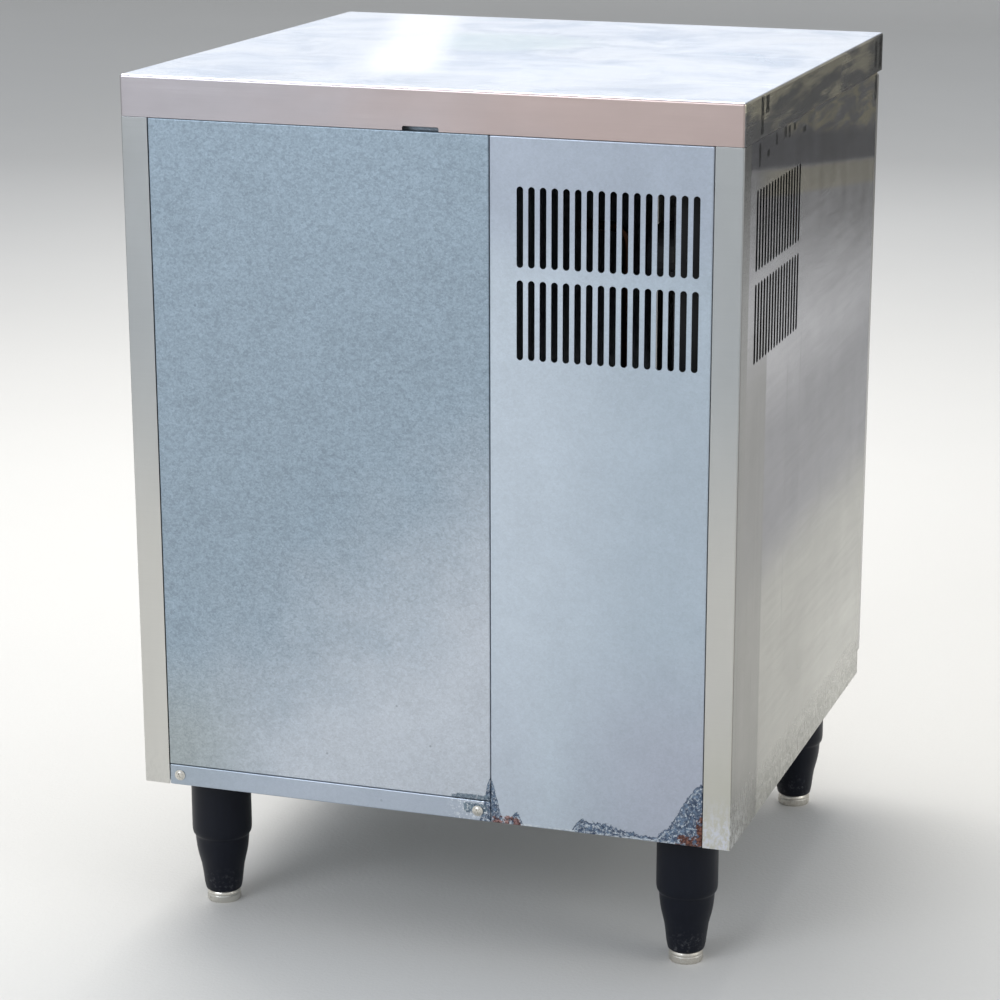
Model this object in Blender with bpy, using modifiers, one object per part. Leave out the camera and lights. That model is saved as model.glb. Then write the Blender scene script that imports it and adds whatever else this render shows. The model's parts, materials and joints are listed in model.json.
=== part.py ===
"""A free-standing soft serve machine in a stainless cabinet on four plastic legs.

Metres, +Z up. X runs to the right seen from the front and Y runs to the rear. The origin is on
the floor, under the middle of the object's box. The machine side, with the compressor and the
vents, is at -X. The insulated side, with the mix cabinet and the freezing cylinder, is at +X.
"""

import math

import bmesh
import bpy
from mathutils import Matrix, Vector

# Cabinet
HALF_WIDTH = 0.300
LEG_HEIGHT = 0.140
BODY_HEIGHT = 0.699
TOP_Z = LEG_HEIGHT + BODY_HEIGHT
SKIRT_HEIGHT = 0.0388
SKIRT_Z = TOP_Z - SKIRT_HEIGHT
REAR_Y = 0.345
SIDE_FRONT_Y = REAR_Y - 0.5578
WORKTOP_FRONT_Y = REAR_Y - 0.580
PANEL_FRONT_Y = SIDE_FRONT_Y - 0.018
TRAY_FRONT_Y = -0.3474
SHEET = 0.0012
THICK_SHEET = 0.0015
GAP = 0.0003
PANEL_TOP_Z = SKIRT_Z - GAP
POST_X = 0.2730
SPLIT_X = -0.0630
FOLD = 0.010
SEAM_Z = LEG_HEIGHT + 0.0214
FRONT_PANEL_Z = LEG_HEIGHT + 0.022
FRONT_PANEL_TOP_Z = 0.797

# Vent slots: two rows of upright slots with round ends
SLOTS_PER_ROW = 16
SLOT_WIDTH = 0.0063
SLOT_LENGTH = 0.074
SLOT_ROWS_Z = (LEG_HEIGHT + 0.5782, LEG_HEIGHT + 0.4927)
REAR_SLOT_PITCH = 0.0110
REAR_SLOTS_X = -0.1749
SIDE_SLOT_PITCH = 0.0109
SIDE_SLOTS_Y = 0.2125

# Legs and feet
LEG_X = 0.244
LEG_REAR_Y = 0.288
LEG_FRONT_Y = -0.1613
LEG_END_Z = 0.012
STEM_BORE = 0.0086

# Freezing cylinder, head and tap
AXIS_X = 0.118
AXIS_Z = 0.672
BARREL_FRONT_Y = -0.236
BARREL_REAR_Y = 0.092
BARREL_OUTER = 0.060
BARREL_INNER = 0.051
HEAD_FRONT_Y = -0.292
HEAD_HALF_WIDTH = 0.080
HEAD_LOW_Z = 0.590
HEAD_TOP_Z = 0.754
VALVE_Y = -0.268
VALVE_BORE = 0.0125
LEVER_Y = -0.290
LEVER_Z = 0.774
LEVER_SHORT_ARM = 0.022
LEVER_REST = math.radians(25)
LEVER_LONG_ARM = 0.050
LEVER_LONG_RISE = math.radians(20)
HEAD_KNOB_X = 0.068
TRAY_Z = 0.3945
GRILLE_SLOTS = 11

# Mix cabinet and its door
LINER_LOW = Vector((-0.058, -0.206, 0.164))
LINER_HIGH = Vector((0.296, 0.130, 0.387))
LINER_WALL = 0.020
DOOR_LOW = Vector((-0.061, PANEL_FRONT_Y, FRONT_PANEL_Z))
DOOR_HIGH = Vector((0.297, SIDE_FRONT_Y - 0.0014, 0.3885))
DOOR_PLUG_Y = -0.196
HINGE_X = 0.292
HINGE_Y = -0.2225

# Drive train behind the cylinder
PULLEY_Y = 0.162
PULLEY_WIDTH = 0.020
BIG_PULLEY = 0.070
SMALL_PULLEY = 0.025
BELT_WIDTH = 0.013
BELT_THICKNESS = 0.005
BELT_CLEARANCE = 0.001
MOTOR_Z = 0.300

# Controls on the machine side's front panel
BUTTONS_X = (-0.236, -0.206)
BUTTON_Z = 0.715
SWITCH_X = -0.124

# Fan behind the side vents
FAN_Y = 0.2125
FAN_Z = 0.6755
FAN_BLADES = 5
BLADE_PITCH = math.radians(25)
FIN_GROOVES = 22
FIN_GROOVE_DEPTH = 0.014

FINISHES = {
    "stainless": ((0.63, 0.62, 0.59), 0.28, 1.0),
    "galvanised": ((0.48, 0.54, 0.60), 0.45, 0.9),
    "black_plastic": ((0.012, 0.013, 0.018), 0.45, 0.0),
    "white_plastic": ((0.80, 0.80, 0.78), 0.35, 0.0),
    "grey_plastic": ((0.25, 0.26, 0.27), 0.50, 0.0),
    "rubber": ((0.030, 0.030, 0.032), 0.80, 0.0),
    "copper": ((0.80, 0.42, 0.28), 0.35, 1.0),
    "cast_iron": ((0.10, 0.10, 0.11), 0.60, 0.6),
    "aluminium": ((0.70, 0.71, 0.72), 0.40, 1.0),
}
TURNS = {
    "X": Matrix.Rotation(math.pi / 2, 4, "Y"),
    "Y": Matrix.Rotation(-math.pi / 2, 4, "X"),
    "Z": Matrix.Identity(4),
}


def clear_scene():
    for obj in list(bpy.data.objects):
        bpy.data.objects.remove(obj)


def new_collection(name):
    made = bpy.data.collections.new(name)
    bpy.context.scene.collection.children.link(made)
    return made


def paint(obj, finish):
    colour, roughness, metallic = FINISHES[finish]
    made = bpy.data.materials.new(f"{obj.name}_{finish}")
    made.use_nodes = True
    shader = made.node_tree.nodes["Principled BSDF"]
    shader.inputs["Base Color"].default_value = (*colour, 1)
    shader.inputs["Roughness"].default_value = roughness
    shader.inputs["Metallic"].default_value = metallic
    obj.data.materials.append(made)


def place(name, data, finish, origin=(0, 0, 0)):
    """An object in the parts collection, or in the cutters' if it has no finish."""
    obj = bpy.data.objects.new(name, data)
    obj.location = origin
    if finish:
        PARTS.objects.link(obj)
        paint(obj, finish)
    else:
        CUTTERS.objects.link(obj)
        obj.hide_render = True
        obj.display_type = "WIRE"
    return obj


def from_bmesh(name, shape, finish, origin=(0, 0, 0)):
    """An object from a shape in world coordinates, with its origin moved to the given point."""
    bmesh.ops.translate(shape, vec=-Vector(origin), verts=shape.verts)
    mesh = bpy.data.meshes.new(name)
    shape.to_mesh(mesh)
    shape.free()
    return place(name, mesh, finish, origin)


def add_box(shape, low, high):
    low, high = Vector(low), Vector(high)
    size = Matrix.Diagonal((*(high - low), 1))
    centre = Matrix.Translation((low + high) / 2)
    return bmesh.ops.create_cube(shape, size=1, matrix=centre @ size)["verts"]


def add_cylinder(shape, start, length, radius, axis, segments=24):
    half = Matrix.Translation((0, 0, length / 2))
    bmesh.ops.create_cone(
        shape,
        cap_ends=True,
        segments=segments,
        radius1=radius,
        radius2=radius,
        depth=length,
        matrix=Matrix.Translation(start) @ TURNS[axis] @ half,
    )


def box(name, low, high, finish=None, bevel=0.0, origin=(0, 0, 0)):
    shape = bmesh.new()
    add_box(shape, low, high)
    obj = from_bmesh(name, shape, finish, origin)
    if bevel:
        round_edges(obj, bevel)
    return obj


def boxes(name, corners, finish=None, origin=(0, 0, 0)):
    shape = bmesh.new()
    for low, high in corners:
        add_box(shape, low, high)
    return from_bmesh(name, shape, finish, origin)


def cylinders(name, starts, length, radius, axis, finish=None, segments=24, origin=(0, 0, 0)):
    shape = bmesh.new()
    for start in starts:
        add_cylinder(shape, start, length, radius, axis, segments)
    return from_bmesh(name, shape, finish, origin)


def round_edges(obj, width, segments=2):
    bevel = obj.modifiers.new("round_edges", "BEVEL")
    bevel.width = width
    bevel.segments = segments
    bevel.limit_method = "ANGLE"


def shell(name, low, high, wall, finish, open_sides):
    """A folded sheet: a box without the sides that face the given directions, made solid inwards."""
    shape = bmesh.new()
    add_box(shape, low, high)
    shape.normal_update()
    away = [Vector(side) for side in open_sides]
    gone = [f for f in shape.faces if any(f.normal.dot(side) > 0.9 for side in away)]
    bmesh.ops.delete(shape, geom=gone, context="FACES")
    obj = from_bmesh(name, shape, finish)
    solid = obj.modifiers.new("sheet", "SOLIDIFY")
    solid.thickness = wall
    solid.offset = -1
    solid.use_even_offset = True
    return obj


def combine(target, tool, operation="DIFFERENCE"):
    modifier = target.modifiers.new(operation.lower(), "BOOLEAN")
    modifier.operation = operation
    modifier.solver = "EXACT"
    modifier.object = tool


def turned(name, profile, finish, location, axis="Z", segments=32, ring=False):
    """A turned piece. The profile is (radius, height) down the outer side, closed if ring."""
    edges = [(n, n + 1) for n in range(len(profile) - 1)]
    if ring:
        edges.append((len(profile) - 1, 0))
    mesh = bpy.data.meshes.new(name)
    mesh.from_pydata([(radius, 0, height) for radius, height in profile], edges, [])
    obj = place(name, mesh, finish, location)
    obj.rotation_euler = TURNS[axis].to_euler()
    screw = obj.modifiers.new("turn", "SCREW")
    screw.steps = segments
    screw.render_steps = segments
    screw.use_merge_vertices = True
    screw.merge_threshold = 0.00001
    return obj


def rounded_route(corners, bend, steps=5):
    """Straight runs between the corners, with each inner corner rounded off."""
    corners = [Vector(corner) for corner in corners]
    route = [corners[0]]
    for before, corner, after in zip(corners, corners[1:], corners[2:]):
        start = corner + (before - corner).normalized() * bend
        end = corner + (after - corner).normalized() * bend
        for step in range(steps + 1):
            t = step / steps
            route.append((1 - t) ** 2 * start + 2 * t * (1 - t) * corner + t**2 * end)
    return [*route, corners[-1]]


def tube(name, corners, radius, bend, finish, origin=(0, 0, 0)):
    curve = bpy.data.curves.new(name, "CURVE")
    curve.dimensions = "3D"
    curve.bevel_depth = radius
    curve.bevel_resolution = 2
    curve.use_fill_caps = True
    route = rounded_route(corners, bend)
    spline = curve.splines.new("POLY")
    spline.points.add(len(route) - 1)
    for point, spot in zip(spline.points, route):
        point.co = (*(spot - Vector(origin)), 1)
    return place(name, curve, finish, origin)


def slot_cutter(name, centres, across, through, depth):
    """Upright slots with round ends. Each is a circle pulled apart in Z and pushed along through."""
    segments = 8
    half_turn = math.pi / segments
    radius = SLOT_WIDTH / 2 / math.cos(half_turn)
    stretch = (SLOT_LENGTH - SLOT_WIDTH) / 2
    across, through = Vector(across), Vector(through)
    shape = bmesh.new()
    for centre in centres:
        ring = []
        for n in range(segments):
            angle = 2 * math.pi * n / segments + half_turn
            rise = radius * math.sin(angle) + math.copysign(stretch, math.sin(angle))
            spot = Vector(centre) + across * radius * math.cos(angle) + Vector((0, 0, rise))
            ring.append(shape.verts.new(spot - through * depth / 2))
        face = shape.faces.new(ring)
        pushed = bmesh.ops.extrude_face_region(shape, geom=[face])["geom"]
        moved = [v for v in pushed if isinstance(v, bmesh.types.BMVert)]
        bmesh.ops.translate(shape, vec=through * depth, verts=moved)
    bmesh.ops.recalc_face_normals(shape, faces=shape.faces)
    return from_bmesh(name, shape, None)


def slot_offsets(pitch):
    return [pitch * (n - (SLOTS_PER_ROW - 1) / 2) for n in range(SLOTS_PER_ROW)]


def side_panel(name, side, front_fold):
    """A sheet folded round the front edge and round the rear corner. side is -1 at -X."""
    corners = [
        (side * (HALF_WIDTH - front_fold), SIDE_FRONT_Y),
        (side * HALF_WIDTH, SIDE_FRONT_Y),
        (side * HALF_WIDTH, REAR_Y),
        (side * (POST_X + GAP), REAR_Y),
    ]
    if side > 0:
        corners.reverse()
    shape = bmesh.new()
    low = [shape.verts.new((x, y, LEG_HEIGHT + GAP)) for x, y in corners]
    high = [shape.verts.new((x, y, PANEL_TOP_Z)) for x, y in corners]
    for n in range(len(corners) - 1):
        shape.faces.new((low[n + 1], low[n], high[n], high[n + 1]))
    obj = from_bmesh(name, shape, "stainless")
    solid = obj.modifiers.new("sheet", "SOLIDIFY")
    solid.thickness = SHEET
    solid.offset = -1
    solid.use_even_offset = True
    return obj


def build_cabinet():
    worktop = shell(
        "worktop",
        (-HALF_WIDTH, WORKTOP_FRONT_Y, SKIRT_Z),
        (HALF_WIDTH, REAR_Y, TOP_Z),
        THICK_SHEET,
        "stainless",
        [(0, 0, -1)],
    )
    notch_low = (-0.015, REAR_Y - 0.005, SKIRT_Z - 0.004)
    notch_high = (0.020, REAR_Y + 0.005, SKIRT_Z + 0.004)
    combine(worktop, box("skirt_notch", notch_low, notch_high))
    inside = HALF_WIDTH - SHEET - 0.0004
    shell(
        "top_frame",
        (-inside, SIDE_FRONT_Y + 0.003, 0.782),
        (inside, REAR_Y - FOLD - 0.0005, TOP_Z - THICK_SHEET - GAP),
        THICK_SHEET,
        "galvanised",
        [(0, 0, 1), (0, 0, -1)],
    )
    shell(
        "base_pan",
        (-inside, SIDE_FRONT_Y + 0.0016, LEG_HEIGHT + GAP),
        (inside, REAR_Y - FOLD - 0.0005, LEG_HEIGHT + 0.018),
        THICK_SHEET,
        "galvanised",
        [(0, 0, 1)],
    )
    left = side_panel("side_panel_left", -1, 0.015)
    side_panel("side_panel_right", 1, 0.003)
    centres = [
        (-HALF_WIDTH, SIDE_SLOTS_Y + offset, z)
        for z in SLOT_ROWS_Z
        for offset in slot_offsets(SIDE_SLOT_PITCH)
    ]
    combine(left, slot_cutter("side_slots", centres, (0, 1, 0), (1, 0, 0), 0.010))


def build_rear():
    inward = [(0, -1, 0)]
    vented = shell(
        "rear_panel_vented",
        (-POST_X + GAP, REAR_Y - FOLD, LEG_HEIGHT + GAP),
        (SPLIT_X - GAP, REAR_Y, PANEL_TOP_Z),
        SHEET,
        "galvanised",
        inward,
    )
    centres = [
        (REAR_SLOTS_X + offset, REAR_Y, z)
        for z in SLOT_ROWS_Z
        for offset in slot_offsets(REAR_SLOT_PITCH)
    ]
    combine(vented, slot_cutter("rear_slots", centres, (1, 0, 0), (0, 1, 0), 0.010))
    low_x = SPLIT_X + GAP
    high_x = POST_X - GAP
    shell(
        "rear_panel_insulated",
        (low_x, REAR_Y - FOLD, SEAM_Z + GAP),
        (high_x, REAR_Y, PANEL_TOP_Z),
        SHEET,
        "galvanised",
        inward,
    )
    rail = shell(
        "rear_bottom_rail",
        (low_x, REAR_Y - FOLD, LEG_HEIGHT + GAP),
        (high_x, REAR_Y, SEAM_Z - GAP),
        SHEET,
        "galvanised",
        inward,
    )
    screw_z = (LEG_HEIGHT + SEAM_Z) / 2
    screws = {"rail_screw_right": 0.262, "rail_screw_left": -0.050}
    hole_starts = [(x, REAR_Y - 0.005, screw_z) for x in screws.values()]
    combine(rail, cylinders("rail_screw_holes", hole_starts, 0.010, 0.0027, "Y", segments=16))
    profile = [
        (0, 0.0024),
        (0.0030, 0.0022),
        (0.0042, 0.0014),
        (0.0052, 0.0010),
        (0.0054, GAP),
        (0.0022, GAP),
        (0.0022, -0.008),
        (0, -0.008),
    ]
    for name, x in screws.items():
        turned(name, profile, "stainless", (x, REAR_Y, screw_z), "Y", 14)


def build_partition():
    wall = box(
        "partition_wall",
        (SPLIT_X - 0.0012, SIDE_FRONT_Y + 0.006, LEG_HEIGHT + 0.0021),
        (SPLIT_X + 0.0008, REAR_Y - FOLD - 0.0025, 0.780),
        "galvanised",
    )
    hole = cylinders("suction_line_hole", [(SPLIT_X - 0.01, 0.060, AXIS_Z)], 0.02, 0.010, "X")
    combine(wall, hole)


def build_front():
    back_y = SIDE_FRONT_Y - GAP
    inward = [(0, 1, 0)]
    panel = shell(
        "front_panel_left",
        (-HALF_WIDTH + 0.002, PANEL_FRONT_Y, FRONT_PANEL_Z),
        (SPLIT_X - 0.0015, back_y, FRONT_PANEL_TOP_Z),
        SHEET,
        "stainless",
        inward,
    )
    louvres = [
        ((-0.268, PANEL_FRONT_Y - 0.005, z), (-0.094, PANEL_FRONT_Y + 0.005, z + 0.007))
        for z in [0.215 + 0.019 * row for row in range(14)]
    ]
    combine(panel, boxes("front_louvres", louvres))
    button_starts = [(x, PANEL_FRONT_Y - 0.005, BUTTON_Z) for x in BUTTONS_X]
    combine(panel, cylinders("button_holes", button_starts, 0.010, 0.0095, "Y"))
    combine(
        panel,
        box(
            "switch_hole",
            (SWITCH_X - 0.0120, PANEL_FRONT_Y - 0.005, BUTTON_Z - 0.0175),
            (SWITCH_X + 0.0120, PANEL_FRONT_Y + 0.005, BUTTON_Z + 0.0175),
        ),
    )
    fascia = shell(
        "head_fascia",
        (SPLIT_X + 0.0015, PANEL_FRONT_Y, 0.3925),
        (HALF_WIDTH - 0.002, back_y, FRONT_PANEL_TOP_Z),
        SHEET,
        "stainless",
        inward,
    )
    hole_start = (AXIS_X, PANEL_FRONT_Y - 0.010, AXIS_Z)
    combine(fascia, cylinders("barrel_hole", [hole_start], 0.040, 0.064, "Y", segments=48))


def build_controls():
    profile = [
        (0, 0.0030),
        (0.0080, 0.0026),
        (0.0090, 0.0016),
        (0.0090, -0.0016),
        (0.0112, -0.0016),
        (0.0112, -0.0030),
        (0.0070, -0.0030),
        (0.0070, -0.0100),
        (0, -0.0100),
    ]
    outwards = Matrix.Rotation(math.pi / 2, 4, "X").to_euler()
    for number, x in enumerate(BUTTONS_X, 1):
        spot = (x, PANEL_FRONT_Y, BUTTON_Z)
        button = turned(f"mode_button_{number}", profile, "grey_plastic", spot, "Y", 18)
        button.rotation_euler = outwards
    pivot = Vector((SWITCH_X, PANEL_FRONT_Y + 0.005, BUTTON_Z))
    rocker = box(
        "main_switch",
        pivot + Vector((-0.0105, -0.0092, -0.0145)),
        pivot + Vector((0.0105, 0.0030, 0.0145)),
        "black_plastic",
        0.0015,
        pivot,
    )
    rocker.rotation_euler = (-math.radians(7), 0, 0)


def build_legs():
    length = LEG_HEIGHT - LEG_END_Z
    leg = [
        (0, 0),
        (0.0292, 0),
        (0.0298, -0.0010),
        (0.0300, -0.0620),
        (0.0294, -0.0665),
        (0.0272, -0.0680),
        (0.0260, -0.0820),
        (0.0245, -0.0900),
        (0.0216, -0.1010),
        (0.0194, -0.1200),
        (0.0180, -length + 0.0015),
        (0.0165, -length),
        (STEM_BORE, -length),
        (STEM_BORE, -0.0600),
        (0, -0.0600),
    ]
    foot = [
        (0, 0.0580),
        (0.0072, 0.0580),
        (0.0080, 0.0570),
        (0.0080, LEG_END_Z - GAP),
        (0.0150, LEG_END_Z - GAP),
        (0.0165, LEG_END_Z - 0.0015),
        (0.0170, 0.0080),
        (0.0170, 0.0010),
        (0.0162, 0),
        (0, 0),
    ]
    for end, y in (("front", LEG_FRONT_Y), ("rear", LEG_REAR_Y)):
        for side, x in (("left", -LEG_X), ("right", LEG_X)):
            turned(f"leg_{end}_{side}", leg, "black_plastic", (x, y, LEG_HEIGHT), segments=24)
            turned(f"foot_{end}_{side}", foot, "stainless", (x, y, 0), segments=16)


def build_mix_cabinet():
    wall = Vector((LINER_WALL,) * 3)
    liner = box("mix_cabinet_liner", LINER_LOW, LINER_HIGH, "white_plastic")
    hollow_low = LINER_LOW + wall
    hollow_high = LINER_HIGH - wall
    hollow_low.y = LINER_LOW.y - 0.01
    combine(liner, box("liner_hollow", hollow_low, hollow_high))
    combine(liner, cylinders("feed_tube_hole", [(0.248, 0.030, 0.34)], 0.08, 0.007, "Z"))

    pivot = (HINGE_X, HINGE_Y, DOOR_LOW.z)
    door = box("mix_door", DOOR_LOW, DOOR_HIGH, "stainless", 0.002, pivot)
    plug_low = (hollow_low.x + 0.005, DOOR_HIGH.y - 0.004, hollow_low.z + 0.003)
    plug_high = (hollow_high.x - 0.005, DOOR_PLUG_Y, hollow_high.z - 0.003)
    combine(door, box("door_plug", plug_low, plug_high, bevel=0.003), "UNION")
    pin_holes = [(HINGE_X, HINGE_Y, z) for z in (DOOR_LOW.z - 0.002, DOOR_HIGH.z - 0.018)]
    combine(door, cylinders("hinge_pin_holes", pin_holes, 0.020, 0.0044, "Z", segments=16))

    seal_y = (DOOR_HIGH.y + GAP, LINER_LOW.y - GAP)
    gasket = box(
        "door_gasket",
        (LINER_LOW.x + 0.002, seal_y[0], LINER_LOW.z + 0.0025),
        (HINGE_X - 0.004, seal_y[1], LINER_HIGH.z - 0.002),
        "rubber",
        origin=pivot,
    )
    combine(
        gasket,
        box(
            "gasket_hole",
            (hollow_low.x - 0.006, seal_y[0] - 0.005, hollow_low.z - 0.004),
            (hollow_high.x + 0.0003, seal_y[1] + 0.005, hollow_high.z + 0.004),
        ),
    )
    handle_x = -0.035
    front = DOOR_LOW.y - GAP
    handle_ends = [(handle_x, front, z) for z in (0.222, 0.338)]
    handle_corners = [(handle_x, front - 0.028, z) for z in (0.222, 0.338)]
    route = [handle_ends[0], *handle_corners, handle_ends[1]]
    tube("door_handle", route, 0.005, 0.012, "stainless", pivot)
    build_hinges()


def build_hinges():
    """Two plates with a pin each: the door hangs between them."""
    heights = {
        "hinge_bracket_lower": (DOOR_LOW.z - 0.0028, DOOR_LOW.z - 0.0008, 0.014),
        "hinge_bracket_upper": (DOOR_HIGH.z + 0.0008, DOOR_HIGH.z + 0.0032, -0.014),
    }
    for name, (low, high, reach) in heights.items():
        plate = box(
            name,
            (0.268, PANEL_FRONT_Y + 0.001, low),
            (0.2968, LINER_LOW.y - 0.0005, high),
            "stainless",
        )
        start = (HINGE_X, HINGE_Y, min(low, low + reach))
        pin = cylinders(f"{name}_pin", [start], abs(reach) + high - low, 0.004, "Z", segments=16)
        combine(plate, pin, "UNION")


def build_mix_tank():
    low = Vector((-0.015, -0.185, LINER_LOW.z + LINER_WALL + GAP))
    high = Vector((0.215, 0.095, 0.325))
    shell("mix_tank", low, high, THICK_SHEET, "stainless", [(0, 0, 1)])
    centre = (low + high) / 2
    rim = Vector((0.003, 0.003, 0))
    lid_low = Vector((low.x, low.y, high.z + GAP)) - rim
    lid_high = Vector((high.x, high.y, high.z + 0.0025)) + rim
    lid_origin = (centre.x, centre.y, lid_low.z)
    lid = box("mix_tank_lid", lid_low, lid_high, "stainless", origin=lid_origin)
    knob_start = (centre.x, centre.y, lid_high.z - 0.001)
    combine(lid, cylinders("lid_grip", [knob_start], 0.017, 0.012, "Z"), "UNION")
    pump = box("mix_pump", (0.228, -0.010, low.z), (0.268, 0.070, 0.280), "grey_plastic", 0.003)
    head_start = (0.248, -0.034, 0.250)
    combine(pump, cylinders("pump_head", [head_start], 0.034, 0.019, "Y"), "UNION")
    inlet_start = (high.x + GAP, 0.030, 0.205)
    combine(pump, cylinders("pump_inlet", [inlet_start], 0.020, 0.007, "X"), "UNION")
    feed = [
        (0.248, 0.030, 0.280 + GAP),
        (0.248, 0.030, AXIS_Z),
        (AXIS_X + BARREL_OUTER + 0.0004, 0.030, AXIS_Z),
    ]
    tube("feed_tube", feed, 0.005, 0.025, "white_plastic")


def build_barrel():
    length = BARREL_REAR_Y - BARREL_FRONT_Y
    barrel = [
        (BARREL_OUTER, length),
        (BARREL_OUTER, 0),
        (BARREL_INNER, 0),
        (BARREL_INNER, length - 0.008),
        (0.0083, length - 0.008),
        (0.0083, length),
    ]
    spot = (AXIS_X, BARREL_FRONT_Y, AXIS_Z)
    turned("freezing_cylinder", barrel, "stainless", spot, "Y", 32, ring=True)
    build_beater()


def build_beater():
    """A shaft with one helical scraper, wound from a flat section and joined to the shaft."""
    origin = Vector((AXIS_X, BARREL_FRONT_Y + 0.010, AXIS_Z))
    reach = 0.118 - origin.y
    shaft = [(0, reach), (0.0065, reach), (0.0075, reach - 0.001), (0.0075, 0), (0, 0)]
    steps_per_turn = 16
    beater = turned("beater", shaft, "stainless", origin, "Y", steps_per_turn)
    thickness = 0.0024
    winding = 0.283
    turns = 2
    steps = steps_per_turn * turns
    # Half a step round, so that the scraper's sections fall between the shaft's corners.
    outwards = Vector((math.cos(math.pi / steps_per_turn), 0, math.sin(math.pi / steps_per_turn)))
    shape = bmesh.new()
    section = [
        shape.verts.new(origin + outwards * radius + Vector((0, 0.006 + along, 0)))
        for radius, along in (
            (0.0040, 0),
            (BARREL_INNER - 0.0025, 0),
            (BARREL_INNER - 0.0025, thickness),
            (0.0040, thickness),
        )
    ]
    face = shape.faces.new(section)
    bmesh.ops.spin(
        shape,
        geom=[*face.verts, *face.edges, face],
        cent=origin,
        axis=(0, 1, 0),
        dvec=(0, winding / steps, 0),
        angle=2 * math.pi * turns,
        steps=steps,
    )
    bmesh.ops.recalc_face_normals(shape, faces=shape.faces)
    combine(beater, from_bmesh("beater_scraper", shape, None), "UNION")


def build_head():
    low = (AXIS_X - HEAD_HALF_WIDTH, HEAD_FRONT_Y, HEAD_LOW_Z)
    high = (AXIS_X + HEAD_HALF_WIDTH, BARREL_FRONT_Y - GAP, HEAD_TOP_Z)
    block = box("head_block", low, high, "white_plastic", 0.005)
    ear_low = Vector((AXIS_X, LEVER_Y - 0.009, HEAD_TOP_Z - 0.004))
    ear_high = Vector((AXIS_X + 0.0065, LEVER_Y + 0.009, LEVER_Z + 0.012))
    ears = [(ear_low + Vector((x, 0, 0)), ear_high + Vector((x, 0, 0))) for x in (-0.0150, 0.0085)]
    combine(block, boxes("lever_ears", ears), "UNION")
    bore_start = (AXIS_X, VALVE_Y, HEAD_LOW_Z - 0.01)
    combine(block, cylinders("valve_bore", [bore_start], 0.20, VALVE_BORE, "Z", segments=32))
    port_start = (AXIS_X, VALVE_Y, AXIS_Z - 0.032)
    combine(block, cylinders("product_port", [port_start], 0.040, 0.010, "Y", segments=20))
    pin_start = (AXIS_X - 0.020, LEVER_Y, LEVER_Z)
    combine(block, cylinders("lever_pin_bore", [pin_start], 0.040, 0.0033, "X", segments=16))
    knob_starts = [
        (AXIS_X + x, HEAD_FRONT_Y - 0.01, AXIS_Z) for x in (-HEAD_KNOB_X, HEAD_KNOB_X)
    ]
    combine(block, cylinders("stud_bores", knob_starts, 0.080, 0.0054, "Y", segments=20))
    pin_start = (AXIS_X - 0.0165, LEVER_Y, LEVER_Z)
    cylinders("lever_pin", [pin_start], 0.033, 0.0030, "X", "stainless", 16)
    build_head_knobs()
    build_valve()
    build_lever()
    nozzle = [
        (0.0170, 0),
        (0.0200, -0.0010),
        (0.0200, -0.0080),
        (0.0160, -0.0200),
        (0.0095, -0.0200),
        (0.0115, 0),
    ]
    spot = (AXIS_X, VALVE_Y, HEAD_LOW_Z - GAP)
    turned("nozzle_cap", nozzle, "white_plastic", spot, "Z", 24, ring=True)


def build_head_knobs():
    stud = -(HEAD_FRONT_Y - PANEL_FRONT_Y) - 0.0008
    profile = [
        (0, 0.0240),
        (0.0130, 0.0230),
        (0.0175, 0.0190),
        (0.0185, 0.0120),
        (0.0165, 0.0060),
        (0.0110, GAP),
        (0.0050, GAP),
        (0.0050, -stud),
        (0, -stud),
    ]
    outwards = Matrix.Rotation(math.pi / 2, 4, "X").to_euler()
    for name, x in (("head_knob_left", -HEAD_KNOB_X), ("head_knob_right", HEAD_KNOB_X)):
        spot = (AXIS_X + x, HEAD_FRONT_Y, AXIS_Z)
        knob = turned(name, profile, "black_plastic", spot, "Y", 16)
        knob.rotation_euler = outwards


def build_valve():
    """The plunger of the tap. The lever's tip works in a groove cut into its front."""
    tip_z = LEVER_Z - LEVER_SHORT_ARM * math.sin(LEVER_REST)
    top = tip_z + 0.0135
    bottom = HEAD_LOW_Z + 0.004
    start = (AXIS_X, VALVE_Y, bottom)
    valve = cylinders(
        "draw_valve", [start], top - bottom, VALVE_BORE - 0.0004, "Z", "white_plastic", 28, start
    )
    groove_low = Vector((AXIS_X - 0.02, VALVE_Y - 0.02, tip_z - 0.0047))
    groove_high = Vector((AXIS_X + 0.02, VALVE_Y + 0.0047, tip_z + 0.0047))
    combine(valve, box("valve_groove", groove_low, groove_high))
    # The front is open above and below the groove, where the arm swings through.
    mouth_low = groove_low - Vector((0, 0, 0.006))
    mouth_high = Vector((groove_high.x, VALVE_Y - 0.005, top + 0.001))
    combine(valve, box("valve_mouth", mouth_low, mouth_high))


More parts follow.
